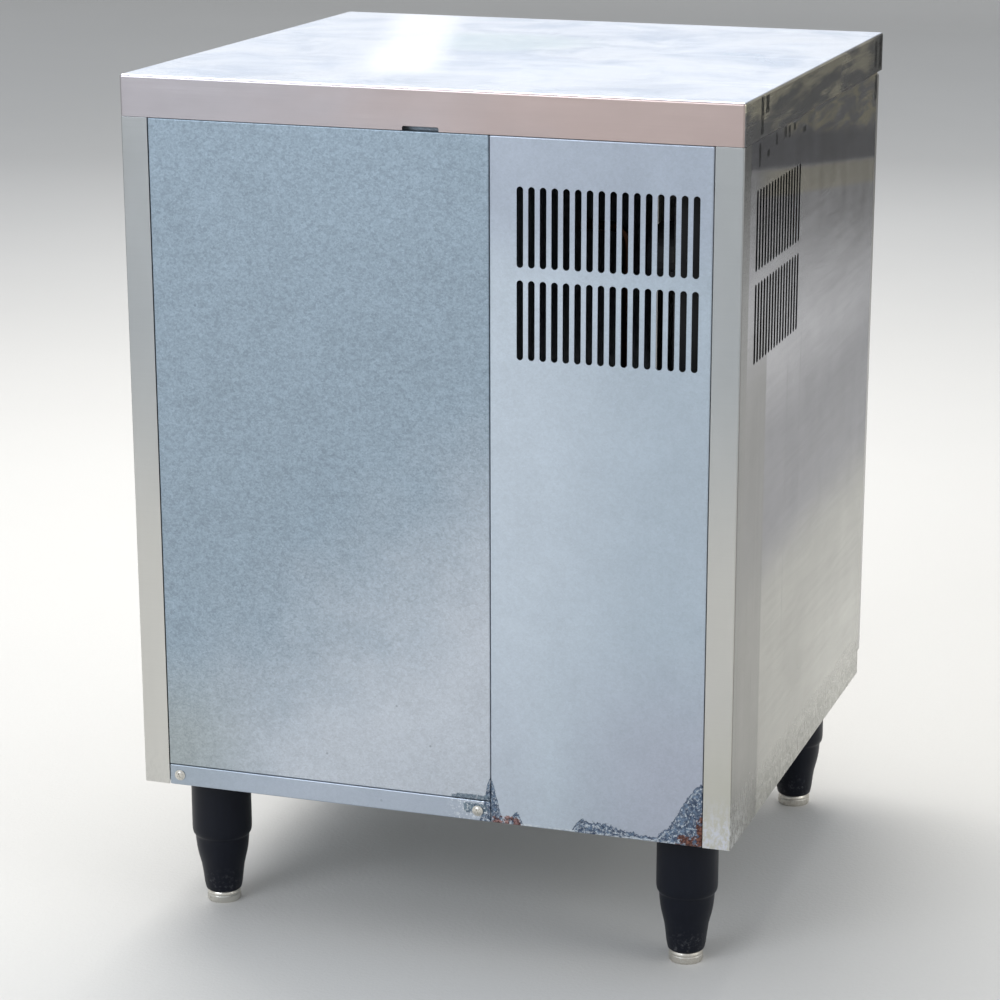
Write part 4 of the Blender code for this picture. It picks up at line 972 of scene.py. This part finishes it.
def build_leg(name):
    """A tapered leg with its collar, and the steel foot that screws into it."""
    low, high, middle, _ = box_of(f"leg_{name}")
    length = high.z - low.z
    leg = [
        (0, 0), (0.029, 0), (0.0297, -0.0006), (0.0299, -0.0015), (0.03, -0.06),
        (0.0298, -0.0632), (0.0292, -0.0658), (0.0282, -0.0674), (0.0274, -0.0686),
        (0.027, -0.0706), (0.0266, -0.076), (0.0258, -0.083), (0.0246, -0.0895),
        (0.0232, -0.095), (0.0218, -0.101), (0.0206, -0.109), (0.0194, -0.12),
        (0.0182, -length + 0.002), (0.0178, -length + 0.0008), (0.0168, -length),
        (0.0086, -length), (0.0086, -0.06), (0, -0.06),
    ]
    moulding = turned(leg, (middle.x, middle.y, high.z), segments=72)
    piece(f"leg_{name}_moulding", moulding, f"leg_{name}", finish=LEG_PLASTIC, sharp=50)
    floor_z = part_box(f"foot_{name}")[0].z
    rim = 0.0117
    foot = [
        (0, 0.058), (0.0072, 0.058), (0.008, 0.057), (0.008, rim), (0.015, rim),
        (0.016, rim - 0.0005), (0.0166, rim - 0.0016), (0.0168, rim - 0.003),
        (0.0164, rim - 0.0036), (0.0164, rim - 0.0044), (0.0169, rim - 0.005), (0.017, 0.003),
        (0.0167, 0.001), (0.016, 0), (0.013, 0), (0.0122, 0.0012), (0, 0.0012),
    ]
    cup = turned(foot, (middle.x, middle.y, floor_z))
    piece(f"foot_{name}_cup", cup, f"foot_{name}", sharp=30)


# ---- Front ----------------------------------------------------------------------------------


def louvre_hood(shape, top_z, height, reach, face_y):
    """A pressed hood over one vent slit, open below and closed at its ends."""
    low_x, high_x = LOUVRES_X
    columns, rows = 40, 6
    grid = []
    for column in range(columns + 1):
        t = column / columns
        run_in = min(t, 1 - t) * (high_x - low_x) / (height * 1.1)
        rise = math.sin(math.pi / 2 * min(run_in, 1.0))
        line = []
        for row in range(rows + 1):
            turn = math.pi / 2 * row / rows
            out = face_y - reach * rise * math.sin(turn)
            drop = top_z - height * (1 - math.cos(turn))
            line.append(shape.verts.new((low_x + t * (high_x - low_x), out, drop)))
        grid.append(line)
    for before, after in zip(grid, grid[1:]):
        for row in range(rows):
            shape.faces.new((before[row], before[row + 1], after[row + 1], after[row]))


def build_front():
    low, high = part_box("front_panel_left")
    panel = folded(low, high, (0, 1, 0), 0.002)
    front, behind = low.y - CUT, low.y + CUT
    heights = [LOUVRES_Z + LOUVRE_PITCH * row for row in range(LOUVRE_ROWS)]
    slit_low, slit_high = LOUVRES_X[0] + 0.003, LOUVRES_X[1] - 0.003
    slits = [((slit_low, front, z), (slit_high, behind, z + 0.0055)) for z in heights]
    combine(panel, draft(boxes(slits)))
    holes = [((x, front, BUTTON_Z), (x, behind, BUTTON_Z)) for x in BUTTONS_X]
    combine(panel, draft(bars(holes, 0.0095)))
    rocker_low, rocker_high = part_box("main_switch")
    room = Vector((0.0014, 0.005, 0.0014))
    combine(panel, draft(boxes([(rocker_low - room, rocker_high + room)])))
    soften(panel, 0.0003)
    piece("front_panel_left_sheet", panel, "front_panel_left", finish=FRONT_STEEL)
    hoods = bmesh.new()
    for z in heights:
        louvre_hood(hoods, z + 0.008, height=0.0085, reach=0.0055, face_y=low.y + 0.0001)
    hoods = draft(hoods)
    thicken(hoods, 0.0009)
    piece("front_louvres", hoods, like="front_panel_left", finish=FRONT_STEEL, sharp=60)

    low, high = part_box("head_fascia")
    fascia = folded(low, high, (0, 1, 0), 0.002)
    axis = box_of("freezing_cylinder")[2]
    bore(fascia, (axis.x, low.y - 0.01, axis.z), (axis.x, low.y + 0.03, axis.z), 0.064, 96)
    soften(fascia, 0.0003)
    piece("head_fascia_sheet", fascia, "head_fascia", finish=FRONT_STEEL)
    trim = [
        (0.0625, 0), (0.0625, 0.0018), (0.0632, 0.0026), (0.07, 0.0026), (0.0712, 0.0016),
        (0.0712, GAP), (0.0645, GAP), (0.0645, 0),
    ]
    ring = turned(trim, (axis.x, low.y, axis.z), OUT_OF_FRONT, 96, ring=True)
    piece("barrel_trim_ring", ring, like="head_fascia", finish=INNER_STEEL)
    build_front_screws(low)


def build_front_screws(fascia_low):
    """Fixing screws in the corners of the two front sheets."""
    face_y = fascia_low.y
    spots = [(x, z) for x in (-0.286, -0.077) for z in (0.174, 0.48, 0.785)]
    spots += [(x, z) for x in (-0.049, 0.286) for z in (0.404, 0.785)]
    for number, (x, z) in enumerate(spots, 1):
        spot = Vector((x, face_y, z))
        screw = pan_screw(spot, OUT_OF_FRONT, head=0.0042, height=0.0019, shank=0.001)
        piece(f"front_screw_{number}", screw, like="rail_screw_left", sharp=50)


def build_controls():
    face_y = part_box("front_panel_left")[0].y
    for number, x in enumerate(BUTTONS_X, 1):
        spot = (x, face_y, BUTTON_Z)
        cap = [
            (0, 0.0021), (0.004, 0.0023), (0.0066, 0.0028), (0.0078, 0.0029), (0.0085, 0.0024),
            (0.0089, 0.0014), (0.009, -0.0016), (0.007, -0.002), (0.007, -0.01), (0, -0.01),
        ]
        piece(f"mode_button_{number}_cap", turned(cap, spot, OUT_OF_FRONT), f"mode_button_{number}")
        rim = [
            (0.00925, -0.0008), (0.00925, 0.0012), (0.0099, 0.002), (0.0116, 0.002),
            (0.0126, 0.0012), (0.0128, GAP), (0.00945, GAP), (0.00945, -0.0008),
        ]
        ring = turned(rim, spot, OUT_OF_FRONT, ring=True)
        piece(f"button_bezel_{number}", ring, like="front_panel_left", finish=BLACK_PLASTIC)
    _, _, middle, half = box_of("main_switch")
    half_width, half_height = half.x, 0.0145
    rows = [
        (0, 0.0012, -0.008), (0, 0.0012, 0.0048), (0.0004, 0.0012, 0.0056),
        (0.0012, 0.0012, 0.006), (0.003, 0.001, 0.0056),
    ]
    levels = set_in(half_width, half_height, rows)
    tilt = Matrix.Rotation(-math.radians(7), 4, "X")
    rocker = stacked(levels, (middle.x, face_y + 0.0062, BUTTON_Z), tilt @ OUT_OF_FRONT)
    piece("main_switch_rocker", rocker, "main_switch")
    inside = [(0, 0.0014, 0.0002), (0, 0.0014, 0.0016), (-0.0006, 0.0018, 0.0022)]
    outside = [(0.0008, 0.0026, 0.0022), (0, 0.003, 0.0014), (0, 0.003, 0.0002)]
    bezel = set_in(half_width + 0.0009, half_height + 0.0013, inside)
    bezel += set_in(half_width + 0.0038, half_height + 0.0045, outside)
    frame_shape = stacked(bezel, (middle.x, face_y, BUTTON_Z), OUT_OF_FRONT, ring=True)
    piece("switch_bezel", frame_shape, like="front_panel_left", finish=BLACK_PLASTIC)


def build_door():
    low, high, middle, half = box_of("mix_door")
    back_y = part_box("side_panel_left")[0].y - 0.0014
    levels = slab_levels(half.x, half.z, 0.0035, 0, back_y - low.y, 0.0022)
    door = draft(stacked(levels, (middle.x, back_y, middle.z), OUT_OF_FRONT))
    plug_low, plug_high = (-0.033, high.y - 0.022, low.z + 0.025), (0.271, high.y, 0.364)
    combine(door, draft(slab(plug_low, plug_high, 0.01, 0.004, OUT_OF_FRONT)), "UNION")
    dish_low = (plug_low[0] + 0.022, high.y - 0.005, plug_low[2] + 0.022)
    dish_high = (plug_high[0] - 0.022, high.y + 0.005, plug_high[2] - 0.022)
    combine(door, draft(slab(dish_low, dish_high, 0.012, 0.002, OUT_OF_FRONT)))
    pins = [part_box(f"hinge_bracket_{end}") for end in ("lower", "upper")]
    ends = [((*HINGE_PIN, a.z - 0.002), (*HINGE_PIN, b.z + 0.002)) for a, b in pins]
    combine(door, draft(bars(ends, 0.0044)))
    piece("mix_door_leaf", door, "mix_door", finish=FRONT_STEEL)

    low, high, middle, half = box_of("door_gasket")
    half_width, half_height = half.x, half.z
    inner_w, inner_h = half_width - 0.017, half_height - 0.013
    depth = high.y - low.y
    bellows = [
        (inner_w, inner_h, 0.006, 0.0008), (inner_w, inner_h, 0.006, depth - 0.0008),
        (inner_w + 0.002, inner_h + 0.002, 0.007, depth),
        (inner_w + 0.006, inner_h + 0.005, 0.008, depth * 0.55),
        (half_width - 0.004, half_height - 0.003, 0.009, depth),
        (half_width, half_height, 0.01, depth - 0.0012), (half_width, half_height, 0.01, 0.0008),
        (half_width - 0.003, half_height - 0.003, 0.009, 0),
        (inner_w + 0.003, inner_h + 0.003, 0.008, 0),
    ]
    gasket = stacked(bellows, (middle.x, low.y, middle.z), OUT_OF_REAR, ring=True)
    piece("door_gasket_bellows", gasket, "door_gasket", sharp=60)

    low, high, middle, _ = box_of("door_handle")
    bar = 0.005
    ends_z = (low.z + bar, high.z - bar)
    root_y, bar_y = high.y, low.y + bar
    spots = ((root_y, ends_z[0]), (bar_y, ends_z[0]), (bar_y, ends_z[1]), (root_y, ends_z[1]))
    route = [(middle.x, y, z) for y, z in spots]
    piece("door_handle_bar", tube(route, bar, 0.012), "door_handle", finish=INNER_STEEL)
    rose = [(0, 0.0026), (0.006, 0.0026), (0.0086, 0.0018), (0.0092, 0.0006), (0.0092, 0), (0, 0)]
    for number, z in enumerate(ends_z, 1):
        shape = turned(rose, (middle.x, high.y, z), OUT_OF_FRONT)
        piece(f"handle_rose_{number}", shape, like="door_handle", finish=INNER_STEEL)


def build_head():
    low, high, middle, _ = box_of("head_block")
    axis_x = middle.x
    valve_y = box_of("draw_valve")[2].y
    pin_low, _, pivot, _ = box_of("lever_pin")
    block_top = 0.754
    block = draft(slab(low, (high.x, high.y, block_top), 0.014, 0.004, OUT_OF_FRONT))
    wedge = bmesh.new()
    for side in (-1, 1):
        verts = add_box(wedge, (-0.05, low.y - 0.01, -0.03), (0.05, high.y + 0.01, 0.03))
        turn = Matrix.Rotation(side * math.radians(-42), 4, "Y")
        spot = Matrix.Translation((axis_x + side * 0.082, 0, low.z - 0.008))
        bmesh.ops.transform(wedge, matrix=spot @ turn, verts=verts)
    combine(block, draft(wedge))
    ear_low = Vector((axis_x, pivot.y - 0.009, block_top - 0.006))
    ear_high = Vector((axis_x + 0.0065, pivot.y + 0.009, high.z))
    shifts = [Vector((x, 0, 0)) for x in (-0.015, 0.0085)]
    combine(block, draft(boxes([(ear_low + by, ear_high + by) for by in shifts])), "UNION")
    bore(block, (axis_x, valve_y, low.z - 0.01), (axis_x, valve_y, high.z + 0.01), 0.0125, 64)
    pin_ends = [(axis_x + reach, pivot.y, pivot.z) for reach in (-0.02, 0.02)]
    bore(block, *pin_ends, 0.0033)
    knobs = {side: box_of(f"head_knob_{side}") for side in ("left", "right")}
    centres = [knob[2] for knob in knobs.values()]
    studs = [((k.x, low.y - 0.01, k.z), (k.x, high.y + 0.01, k.z)) for k in centres]
    combine(block, draft(bars(studs, 0.0054)))
    soften(block, 0.0011, 3)
    piece("head_block_moulding", block, "head_block")

    pin = [
        (0, -0.0005), (0.0024, -0.0005), (0.003, 0.0003), (0.003, 0.0322), (0.0024, 0.033),
        (0, 0.033),
    ]
    piece("lever_pin_rod", turned(pin, (pin_low.x, pivot.y, pivot.z), ALONG_X), "lever_pin")
    for side, (_, knob_high, centre, _) in knobs.items():
        build_knob(f"head_knob_{side}", (centre.x, low.y, centre.z), knob_high.y)
    build_tap(axis_x, valve_y)
    build_lever(pivot)


def build_knob(node, spot, stud_end_y):
    """A star knob: a turned body with finger flutes round its rim, and a plain stud."""
    stud = spot[1] - stud_end_y
    profile = [
        (0, 0.024), (0.006, 0.0239), (0.0105, 0.0234), (0.014, 0.0222), (0.0164, 0.0204),
        (0.0179, 0.0178), (0.0185, 0.0145), (0.0184, 0.011), (0.0176, 0.008), (0.016, 0.0056),
        (0.0135, 0.003), (0.011, 0.001), (0.01, GAP), (0.005, GAP), (0.005, stud), (0, stud),
    ]
    shape = turned(profile, spot, OUT_OF_FRONT, 96)
    flutes = 8
    for vert in shape.verts:
        out = Vector((vert.co.x - spot[0], vert.co.z - spot[2]))
        if out.length > 0.0125:
            dip = (0.5 + 0.5 * math.cos(flutes * math.atan2(out.y, out.x))) ** 2
            out *= 1 - 0.16 * dip
            vert.co.x, vert.co.z = spot[0] + out.x, spot[2] + out.y
    piece(f"{node}_star", shape, node, sharp=60)


def build_tap(axis_x, valve_y):
    """The plunger, with the groove that the lever's tip works in, and its star nozzle."""
    valve_low, valve_high, _, half = box_of("draw_valve")
    radius = half.x
    tip_z = PIVOT_Z - LEVER_SHORT * math.sin(LEVER_REST)
    length = valve_high.z - valve_low.z
    rod = [
        (0, 0), (radius - 0.0012, 0), (radius, 0.0012), (radius, length - 0.001),
        (radius - 0.001, length), (0, length),
    ]
    valve = draft(turned(rod, (axis_x, valve_y, valve_low.z)))
    groove_low = Vector((axis_x - 0.02, valve_y - 0.02, tip_z - 0.0047))
    groove_high = Vector((axis_x + 0.02, valve_y + 0.0047, tip_z + 0.0047))
    combine(valve, draft(boxes([(groove_low, groove_high)])))
    mouth_low = groove_low - Vector((0, 0, 0.006))
    mouth_high = Vector((groove_high.x, valve_y - 0.005, valve_high.z + 0.001))
    combine(valve, draft(boxes([(mouth_low, mouth_high)])))
    soften(valve, 0.0004)
    piece("draw_valve_plunger", valve, "draw_valve")

    _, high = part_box("nozzle_cap")
    nozzle = [
        (0.017, 0), (0.0196, -0.0004), (0.02, -0.0014), (0.02, -0.0076), (0.0196, -0.0086),
        (0.0184, -0.01), (0.0162, -0.019), (0.0156, -0.02), (0.012, -0.02),
        (0.0114, -0.0194), (0.0125, -0.006), (0.0125, 0),
    ]
    shape = turned(nozzle, (axis_x, valve_y, high.z), segments=96, ring=True)
    points = 6
    for vert in shape.verts:
        out = Vector((vert.co.x - axis_x, vert.co.y - valve_y))
        drop = high.z - vert.co.z
        angle = math.atan2(out.y, out.x)
        if drop > 0.019 and out.length < 0.0122:
            out *= 0.8 + 0.16 * math.cos(points * angle)
        elif drop < 0.009 and out.length > 0.019:
            out *= 1 - 0.018 * (0.5 + 0.5 * math.cos(24 * angle))
        vert.co.x, vert.co.y = axis_x + out.x, valve_y + out.y
    piece("nozzle_cap_star", shape, "nozzle_cap", sharp=50)


def build_lever(pivot):
    """The lever: a hub on the pin, a short arm into the plunger and a long one to the knob."""
    long_rise = math.radians(20)
    short = Vector((0, math.cos(LEVER_REST), -math.sin(LEVER_REST)))
    long = Vector((0, -math.cos(long_rise), math.sin(long_rise)))
    tip = pivot + short * LEVER_SHORT
    end = pivot + long * 0.05
    hub = [
        (0.0033, 0), (0.0068, 0), (0.0075, 0.0007), (0.0075, 0.0153), (0.0068, 0.016),
        (0.0033, 0.016),
    ]
    lever = draft(turned(hub, pivot - Vector((0.008, 0, 0)), ALONG_X, 64, ring=True))
    side = Vector((0.007, 0, 0))
    bore(lever, pivot + short * 0.005, tip, 0.0026, operation="UNION")
    bore(lever, pivot + long * 0.005, end - long * 0.0068, 0.0045, operation="UNION")
    bore(lever, tip - side, tip + side, 0.004, operation="UNION")
    soften(lever, 0.0005, 2, 50)
    piece("draw_lever_bar", lever, "draw_lever")
    knob = [
        (0.0049, -0.014), (0.0062, -0.0138), (0.0078, -0.0118), (0.0092, -0.0086),
        (0.0101, -0.0046), (0.0104, 0), (0.01, 0.0046), (0.0088, 0.0088), (0.0066, 0.0116),
        (0.0036, 0.0129), (0, 0.0132), (0, -0.006), (0.0049, -0.006),
    ]
    facing = Vector((0, 0, 1)).rotation_difference(long).to_matrix().to_4x4()
    shape = turned(knob, end - long * 0.004, facing, 48, ring=True)
    piece("lever_knob_ball", shape, "lever_knob", sharp=60)


def build_tray():
    """The tray on its bracket, with the grille lying on two ledges along the tray's walls."""
    low, high, middle, half = box_of("drip_tray")
    rim_w, rim_d = half.x, half.y
    pan_w, pan_d = rim_w - 0.0075, rim_d - 0.0004
    height = high.z - low.z
    levels = [
        (pan_w - 0.006, pan_d - 0.006, 0.004, 0), (pan_w - 0.002, pan_d - 0.002, 0.007, 0.0012),
        (pan_w, pan_d, 0.009, 0.005), (pan_w, pan_d, 0.009, height - 0.0024),
        (rim_w - 0.0004, rim_d, 0.01, height - 0.0022), (rim_w, rim_d, 0.01, height - 0.0012),
        (rim_w - 0.0004, rim_d - 0.0002, 0.01, height - 0.0003),
        (rim_w - 0.0014, rim_d - 0.001, 0.009, height),
        (pan_w - 0.0012, pan_d - 0.0014, 0.008, height),
        (pan_w - 0.002, pan_d - 0.0018, 0.008, height - 0.001),
        (pan_w - 0.002, pan_d - 0.002, 0.008, 0.006),
        (pan_w - 0.004, pan_d - 0.004, 0.006, 0.0026),
        (pan_w - 0.008, pan_d - 0.008, 0.003, 0.002),
    ]
    piece("drip_tray_pan", stacked(levels, (middle.x, middle.y, low.z)), "drip_tray")
    low, high, middle, _ = box_of("drip_grille")
    ledge, ledge_top = 0.0045, low.z - GAP
    ledges = [
        ((x, low.y, ledge_top - 0.002), (x + ledge, high.y, ledge_top))
        for x in (low.x - 0.0012, high.x + 0.0012 - ledge)
    ]
    ledges = draft(boxes(ledges))
    soften(ledges, 0.0004)
    piece("drip_tray_ledges", ledges, like="drip_tray")
    grille = draft(slab(low, high, 0.008, 0.0006))
    openings = bmesh.new()
    count, land, border = 11, 0.003, 0.014
    margin, through = border + 0.001, 2 * land
    pitch = (high.x - low.x - 2 * margin) / count
    rows = ((low.y + border, middle.y - land), (middle.y + land, high.y - border))
    for n in range(count):
        x = low.x + margin + pitch * n
        for near, far in rows:
            opening_low = (x + land, near, high.z - through)
            opening_high = (x + pitch - land, far, high.z + through)
            inner = slab(opening_low, opening_high, 0.0024, 0.0004)
            mesh = bpy.data.meshes.new("opening")
            inner.to_mesh(mesh)
            inner.free()
            openings.from_mesh(mesh)
    combine(grille, draft(openings))
    soften(grille, 0.0004)
    piece("drip_grille_plate", grille, "drip_grille")
    low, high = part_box("tray_bracket")
    plate_y = high.y
    plate_low = (low.x, plate_y - 0.003, low.z)
    bracket = draft(slab(plate_low, (high.x, plate_y, high.z), 0.006, 0.0005, OUT_OF_FRONT))
    arm, arm_low, arm_high = 0.006, 0.409, 0.42
    for x in (low.x, high.x - arm):
        arm_box = boxes([((x, low.y, arm_low), (x + arm, plate_y - 0.0005, arm_high))])
        combine(bracket, draft(arm_box), "UNION")
    soften(bracket, 0.0006)
    piece("tray_bracket_plate", bracket, "tray_bracket")


def build_mix_cabinet():
    """The insulated liner with the tank, the tank's lid and the pump in it."""
    low, high, middle, half = box_of("mix_cabinet_liner")
    depth, wall = high.y - low.y, 0.02
    outside = [(0, 0.004, -depth), (0, 0.004, -0.0015), (0.0015, 0.004, 0)]
    inside = [
        (-0.003, 0.013, 0), (-0.0008, 0.012, -0.001), (0, 0.012, -0.003),
        (0, 0.012, -depth + 0.028), (0.003, 0.01, -depth + 0.022), (0.009, 0.006, -depth + wall),
    ]
    levels = set_in(half.x, half.z, outside) + set_in(half.x - wall, half.z - wall, inside)
    liner = draft(stacked(levels, (middle.x, low.y, middle.z), OUT_OF_FRONT))
    feed_x, feed_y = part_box("feed_tube")[1].x - 0.005, 0.03
    bore(liner, (feed_x, feed_y, 0.34), (feed_x, feed_y, 0.42), 0.007)
    piece("mix_cabinet_liner_moulding", liner, "mix_cabinet_liner")

    low, high, middle, half = box_of("mix_tank")
    height, wall = high.z - low.z, THICK_SHEET
    rows = [
        (0.012, 0.012, 0), (0.004, 0.018, 0.0035), (0, 0.022, 0.012), (0, 0.022, height),
        (wall, 0.0205, height), (wall, 0.0205, 0.0125), (0.004 + wall, 0.0165, 0.0045),
        (0.012 + wall, 0.0105, wall),
    ]
    levels = set_in(half.x, half.y, rows)
    piece("mix_tank_pan", stacked(levels, (middle.x, middle.y, low.z)), "mix_tank")
    low, high, middle, _ = box_of("mix_tank_lid")
    plate = draft(slab(low, (high.x, high.y, low.z + 0.0022), 0.022, 0.0008))
    grip = [
        (0, 0.0005), (0.011, 0.0005), (0.0105, 0.004), (0.012, 0.0062),
        (0.012, high.z - low.z - 0.0012), (0.0108, high.z - low.z), (0, high.z - low.z),
    ]
    combine(plate, draft(turned(grip, (middle.x, middle.y, low.z))), "UNION")
    soften(plate, 0.0003)
    piece("mix_tank_lid_plate", plate, "mix_tank_lid")
    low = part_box("mix_pump")[0]
    case_low, case_high = Vector((0.228, -0.01, low.z)), Vector((0.268, 0.07, 0.28))
    motor_x, motor_z, inlet_z = (case_low.x + case_high.x) / 2, 0.25, 0.205
    inlet = Vector((low.x, feed_y, inlet_z))
    pump = draft(slab(case_low, case_high, 0.006, 0.003))
    motor_ends = [(motor_x, y, motor_z) for y in (-0.034, 0.0)]
    bore(pump, *motor_ends, 0.019, operation="UNION")
    bore(pump, inlet, inlet + Vector((0.02, 0, 0)), 0.007, operation="UNION")
    soften(pump, 0.001, 3)
    piece("mix_pump_body", pump, "mix_pump")


# ---- Stage ----------------------------------------------------------------------------------


def paint_carried_nodes():
    """Gives each CAD node that still shows the finish of its material slot, but the fan shroud a near black
    painted shade.
    """
    for name, obj in frame["nodes"].items():
        obj.data.materials.clear()
        obj.data.materials.append(PAINTED_SHADE_DUSTY if name == "fan_shroud" else FINISHES[SLOT_OF[name]])


def floor_material():
    f = Finish("studio_floor")
    grain = f.noise(0.004, 3, 0.6)
    cloud = f.noise(0.5, 3)
    f.bump(grain, 0.0004)
    return f.done(f.shade("c9c8c5", grain * 0.05 + cloud * 0.04), grain * 0.1 + 0.8)


def set_out(name, shape, material):
    """Makes a thing of the studio, which is not part of the machine, from a bmesh."""
    mesh = bpy.data.meshes.new(name)
    shape.to_mesh(mesh)
    shape.free()
    mesh.materials.append(material)
    obj = bpy.data.objects.new(name, mesh)
    bpy.context.scene.collection.objects.link(obj)
    return obj


def build_stage():
    """A pale floor that sweeps up into the backdrop in front of the machine."""
    shape = bmesh.new()
    half_width, front, rear, bend, wall = 14.0, -7.8, 14.0, 1.2, 4.2
    profile = [(rear, 0.0)]
    steps = 16
    for step in range(steps + 1):
        turn = math.pi / 2 * step / steps
        profile.append((front - bend * math.sin(turn), bend * (1 - math.cos(turn))))
    profile.append((front - bend, wall))
    lines = [[shape.verts.new((x, y, z)) for x in (-half_width, half_width)] for y, z in profile]
    for before, after in zip(lines, lines[1:]):
        shape.faces.new((before[0], before[1], after[1], after[0]))
    floor = set_out("floor", shape, floor_material())
    floor.data.shade_smooth()


def area_light(name, spot, target, size, power, colour):
    light = bpy.data.lights.new(name, "AREA")
    light.shape = "RECTANGLE"
    light.size, light.size_y = size
    light.energy = power
    light.color = rgb(colour)[:3]
    obj = bpy.data.objects.new(name, light)
    obj.location = spot
    obj.rotation_euler = (Vector(target) - Vector(spot)).to_track_quat("-Z", "Y").to_euler()
    bpy.context.scene.collection.objects.link(obj)


def build_flag():
    """A card in front of the machine that only its vented side reflects. No camera sees it."""
    card = slab((-1.75, -3.62, 0.02), (-0.8, -3.58, 0.6), 0.02, 0.004, OUT_OF_FRONT)
    f = Finish("flag_card")
    paint = f.done(f.shade("565550", f.noise(0.01, 2) * 0.1), f.noise(0.02, 2) * 0.1 + 0.9)
    set_out("flag", card, paint).visible_camera = False


def build_lights():
    area_light("sky_panel", (0.8, -1.2, 3.2), (0, 0, 0.5), (2.6, 2.0), 120, "fdfaf5")
    area_light("front_panel", (1.3, -4.0, 1.9), (0.1, 0, 0.75), (2.8, 1.7), 12, "f6f9ff")
    area_light("rear_fill", (1.6, 3.6, 2.2), (0, 0.2, 0.5), (2.4, 1.8), 70, "eef3fb")
    area_light("side_fill", (-3.4, 0.6, 1.6), (0, 0, 0.5), (2.0, 1.6), 28, "f6f4ee")
    world = bpy.data.worlds.new("studio")
    bpy.context.scene.world = world
    world.use_nodes = True
    nodes, links = world.node_tree.nodes, world.node_tree.links
    where = nodes.new("ShaderNodeTexCoord")
    height = nodes.new("ShaderNodeSeparateXYZ")
    tones = nodes.new("ShaderNodeValToRGB")
    links.new(where.outputs["Generated"], height.inputs[0])
    links.new(height.outputs["Z"], tones.inputs["Fac"])
    tones.color_ramp.elements[0].color = rgb("d8d5cf")
    tones.color_ramp.elements[1].color = rgb("e9f0fb")
    links.new(tones.outputs["Color"], nodes["Background"].inputs["Color"])
    nodes["Background"].inputs["Strength"].default_value = 0.85


def build_camera():
    """Behind the machine and to its vented side, a little above its worktop."""
    heading, drop, roll = math.radians(17.64), math.radians(16.87), math.radians(0.25)
    data = bpy.data.cameras.new("camera")
    data.sensor_width = 36
    data.lens = 108.45
    data.shift_x = -0.0595
    data.shift_y = 0.0888
    camera = bpy.data.objects.new("camera", data)
    camera.location = (-0.9444, 2.9016, 1.1948)
    level = Vector((math.sin(heading), -math.cos(heading), 0))
    forward = level * math.cos(drop) - Vector((0, 0, math.sin(drop)))
    turn = forward.to_track_quat("-Z", "Y").to_matrix().to_4x4()
    camera.matrix_world = Matrix.Translation(camera.location) @ turn @ Matrix.Rotation(roll, 4, "Z")
    bpy.context.scene.collection.objects.link(camera)
    bpy.context.scene.camera = camera


paint_carried_nodes()
build_worktop()
build_side_panels()
build_rear_panels()
build_screws()
for leg_name in ("front_left", "front_right", "rear_left", "rear_right"):
    build_leg(leg_name)
build_front()
build_controls()
build_door()
build_head()
build_tray()
build_mix_cabinet()
build_stage()
build_flag()
build_lights()
build_camera()
bpy.context.scene.view_settings.view_transform = "Standard"
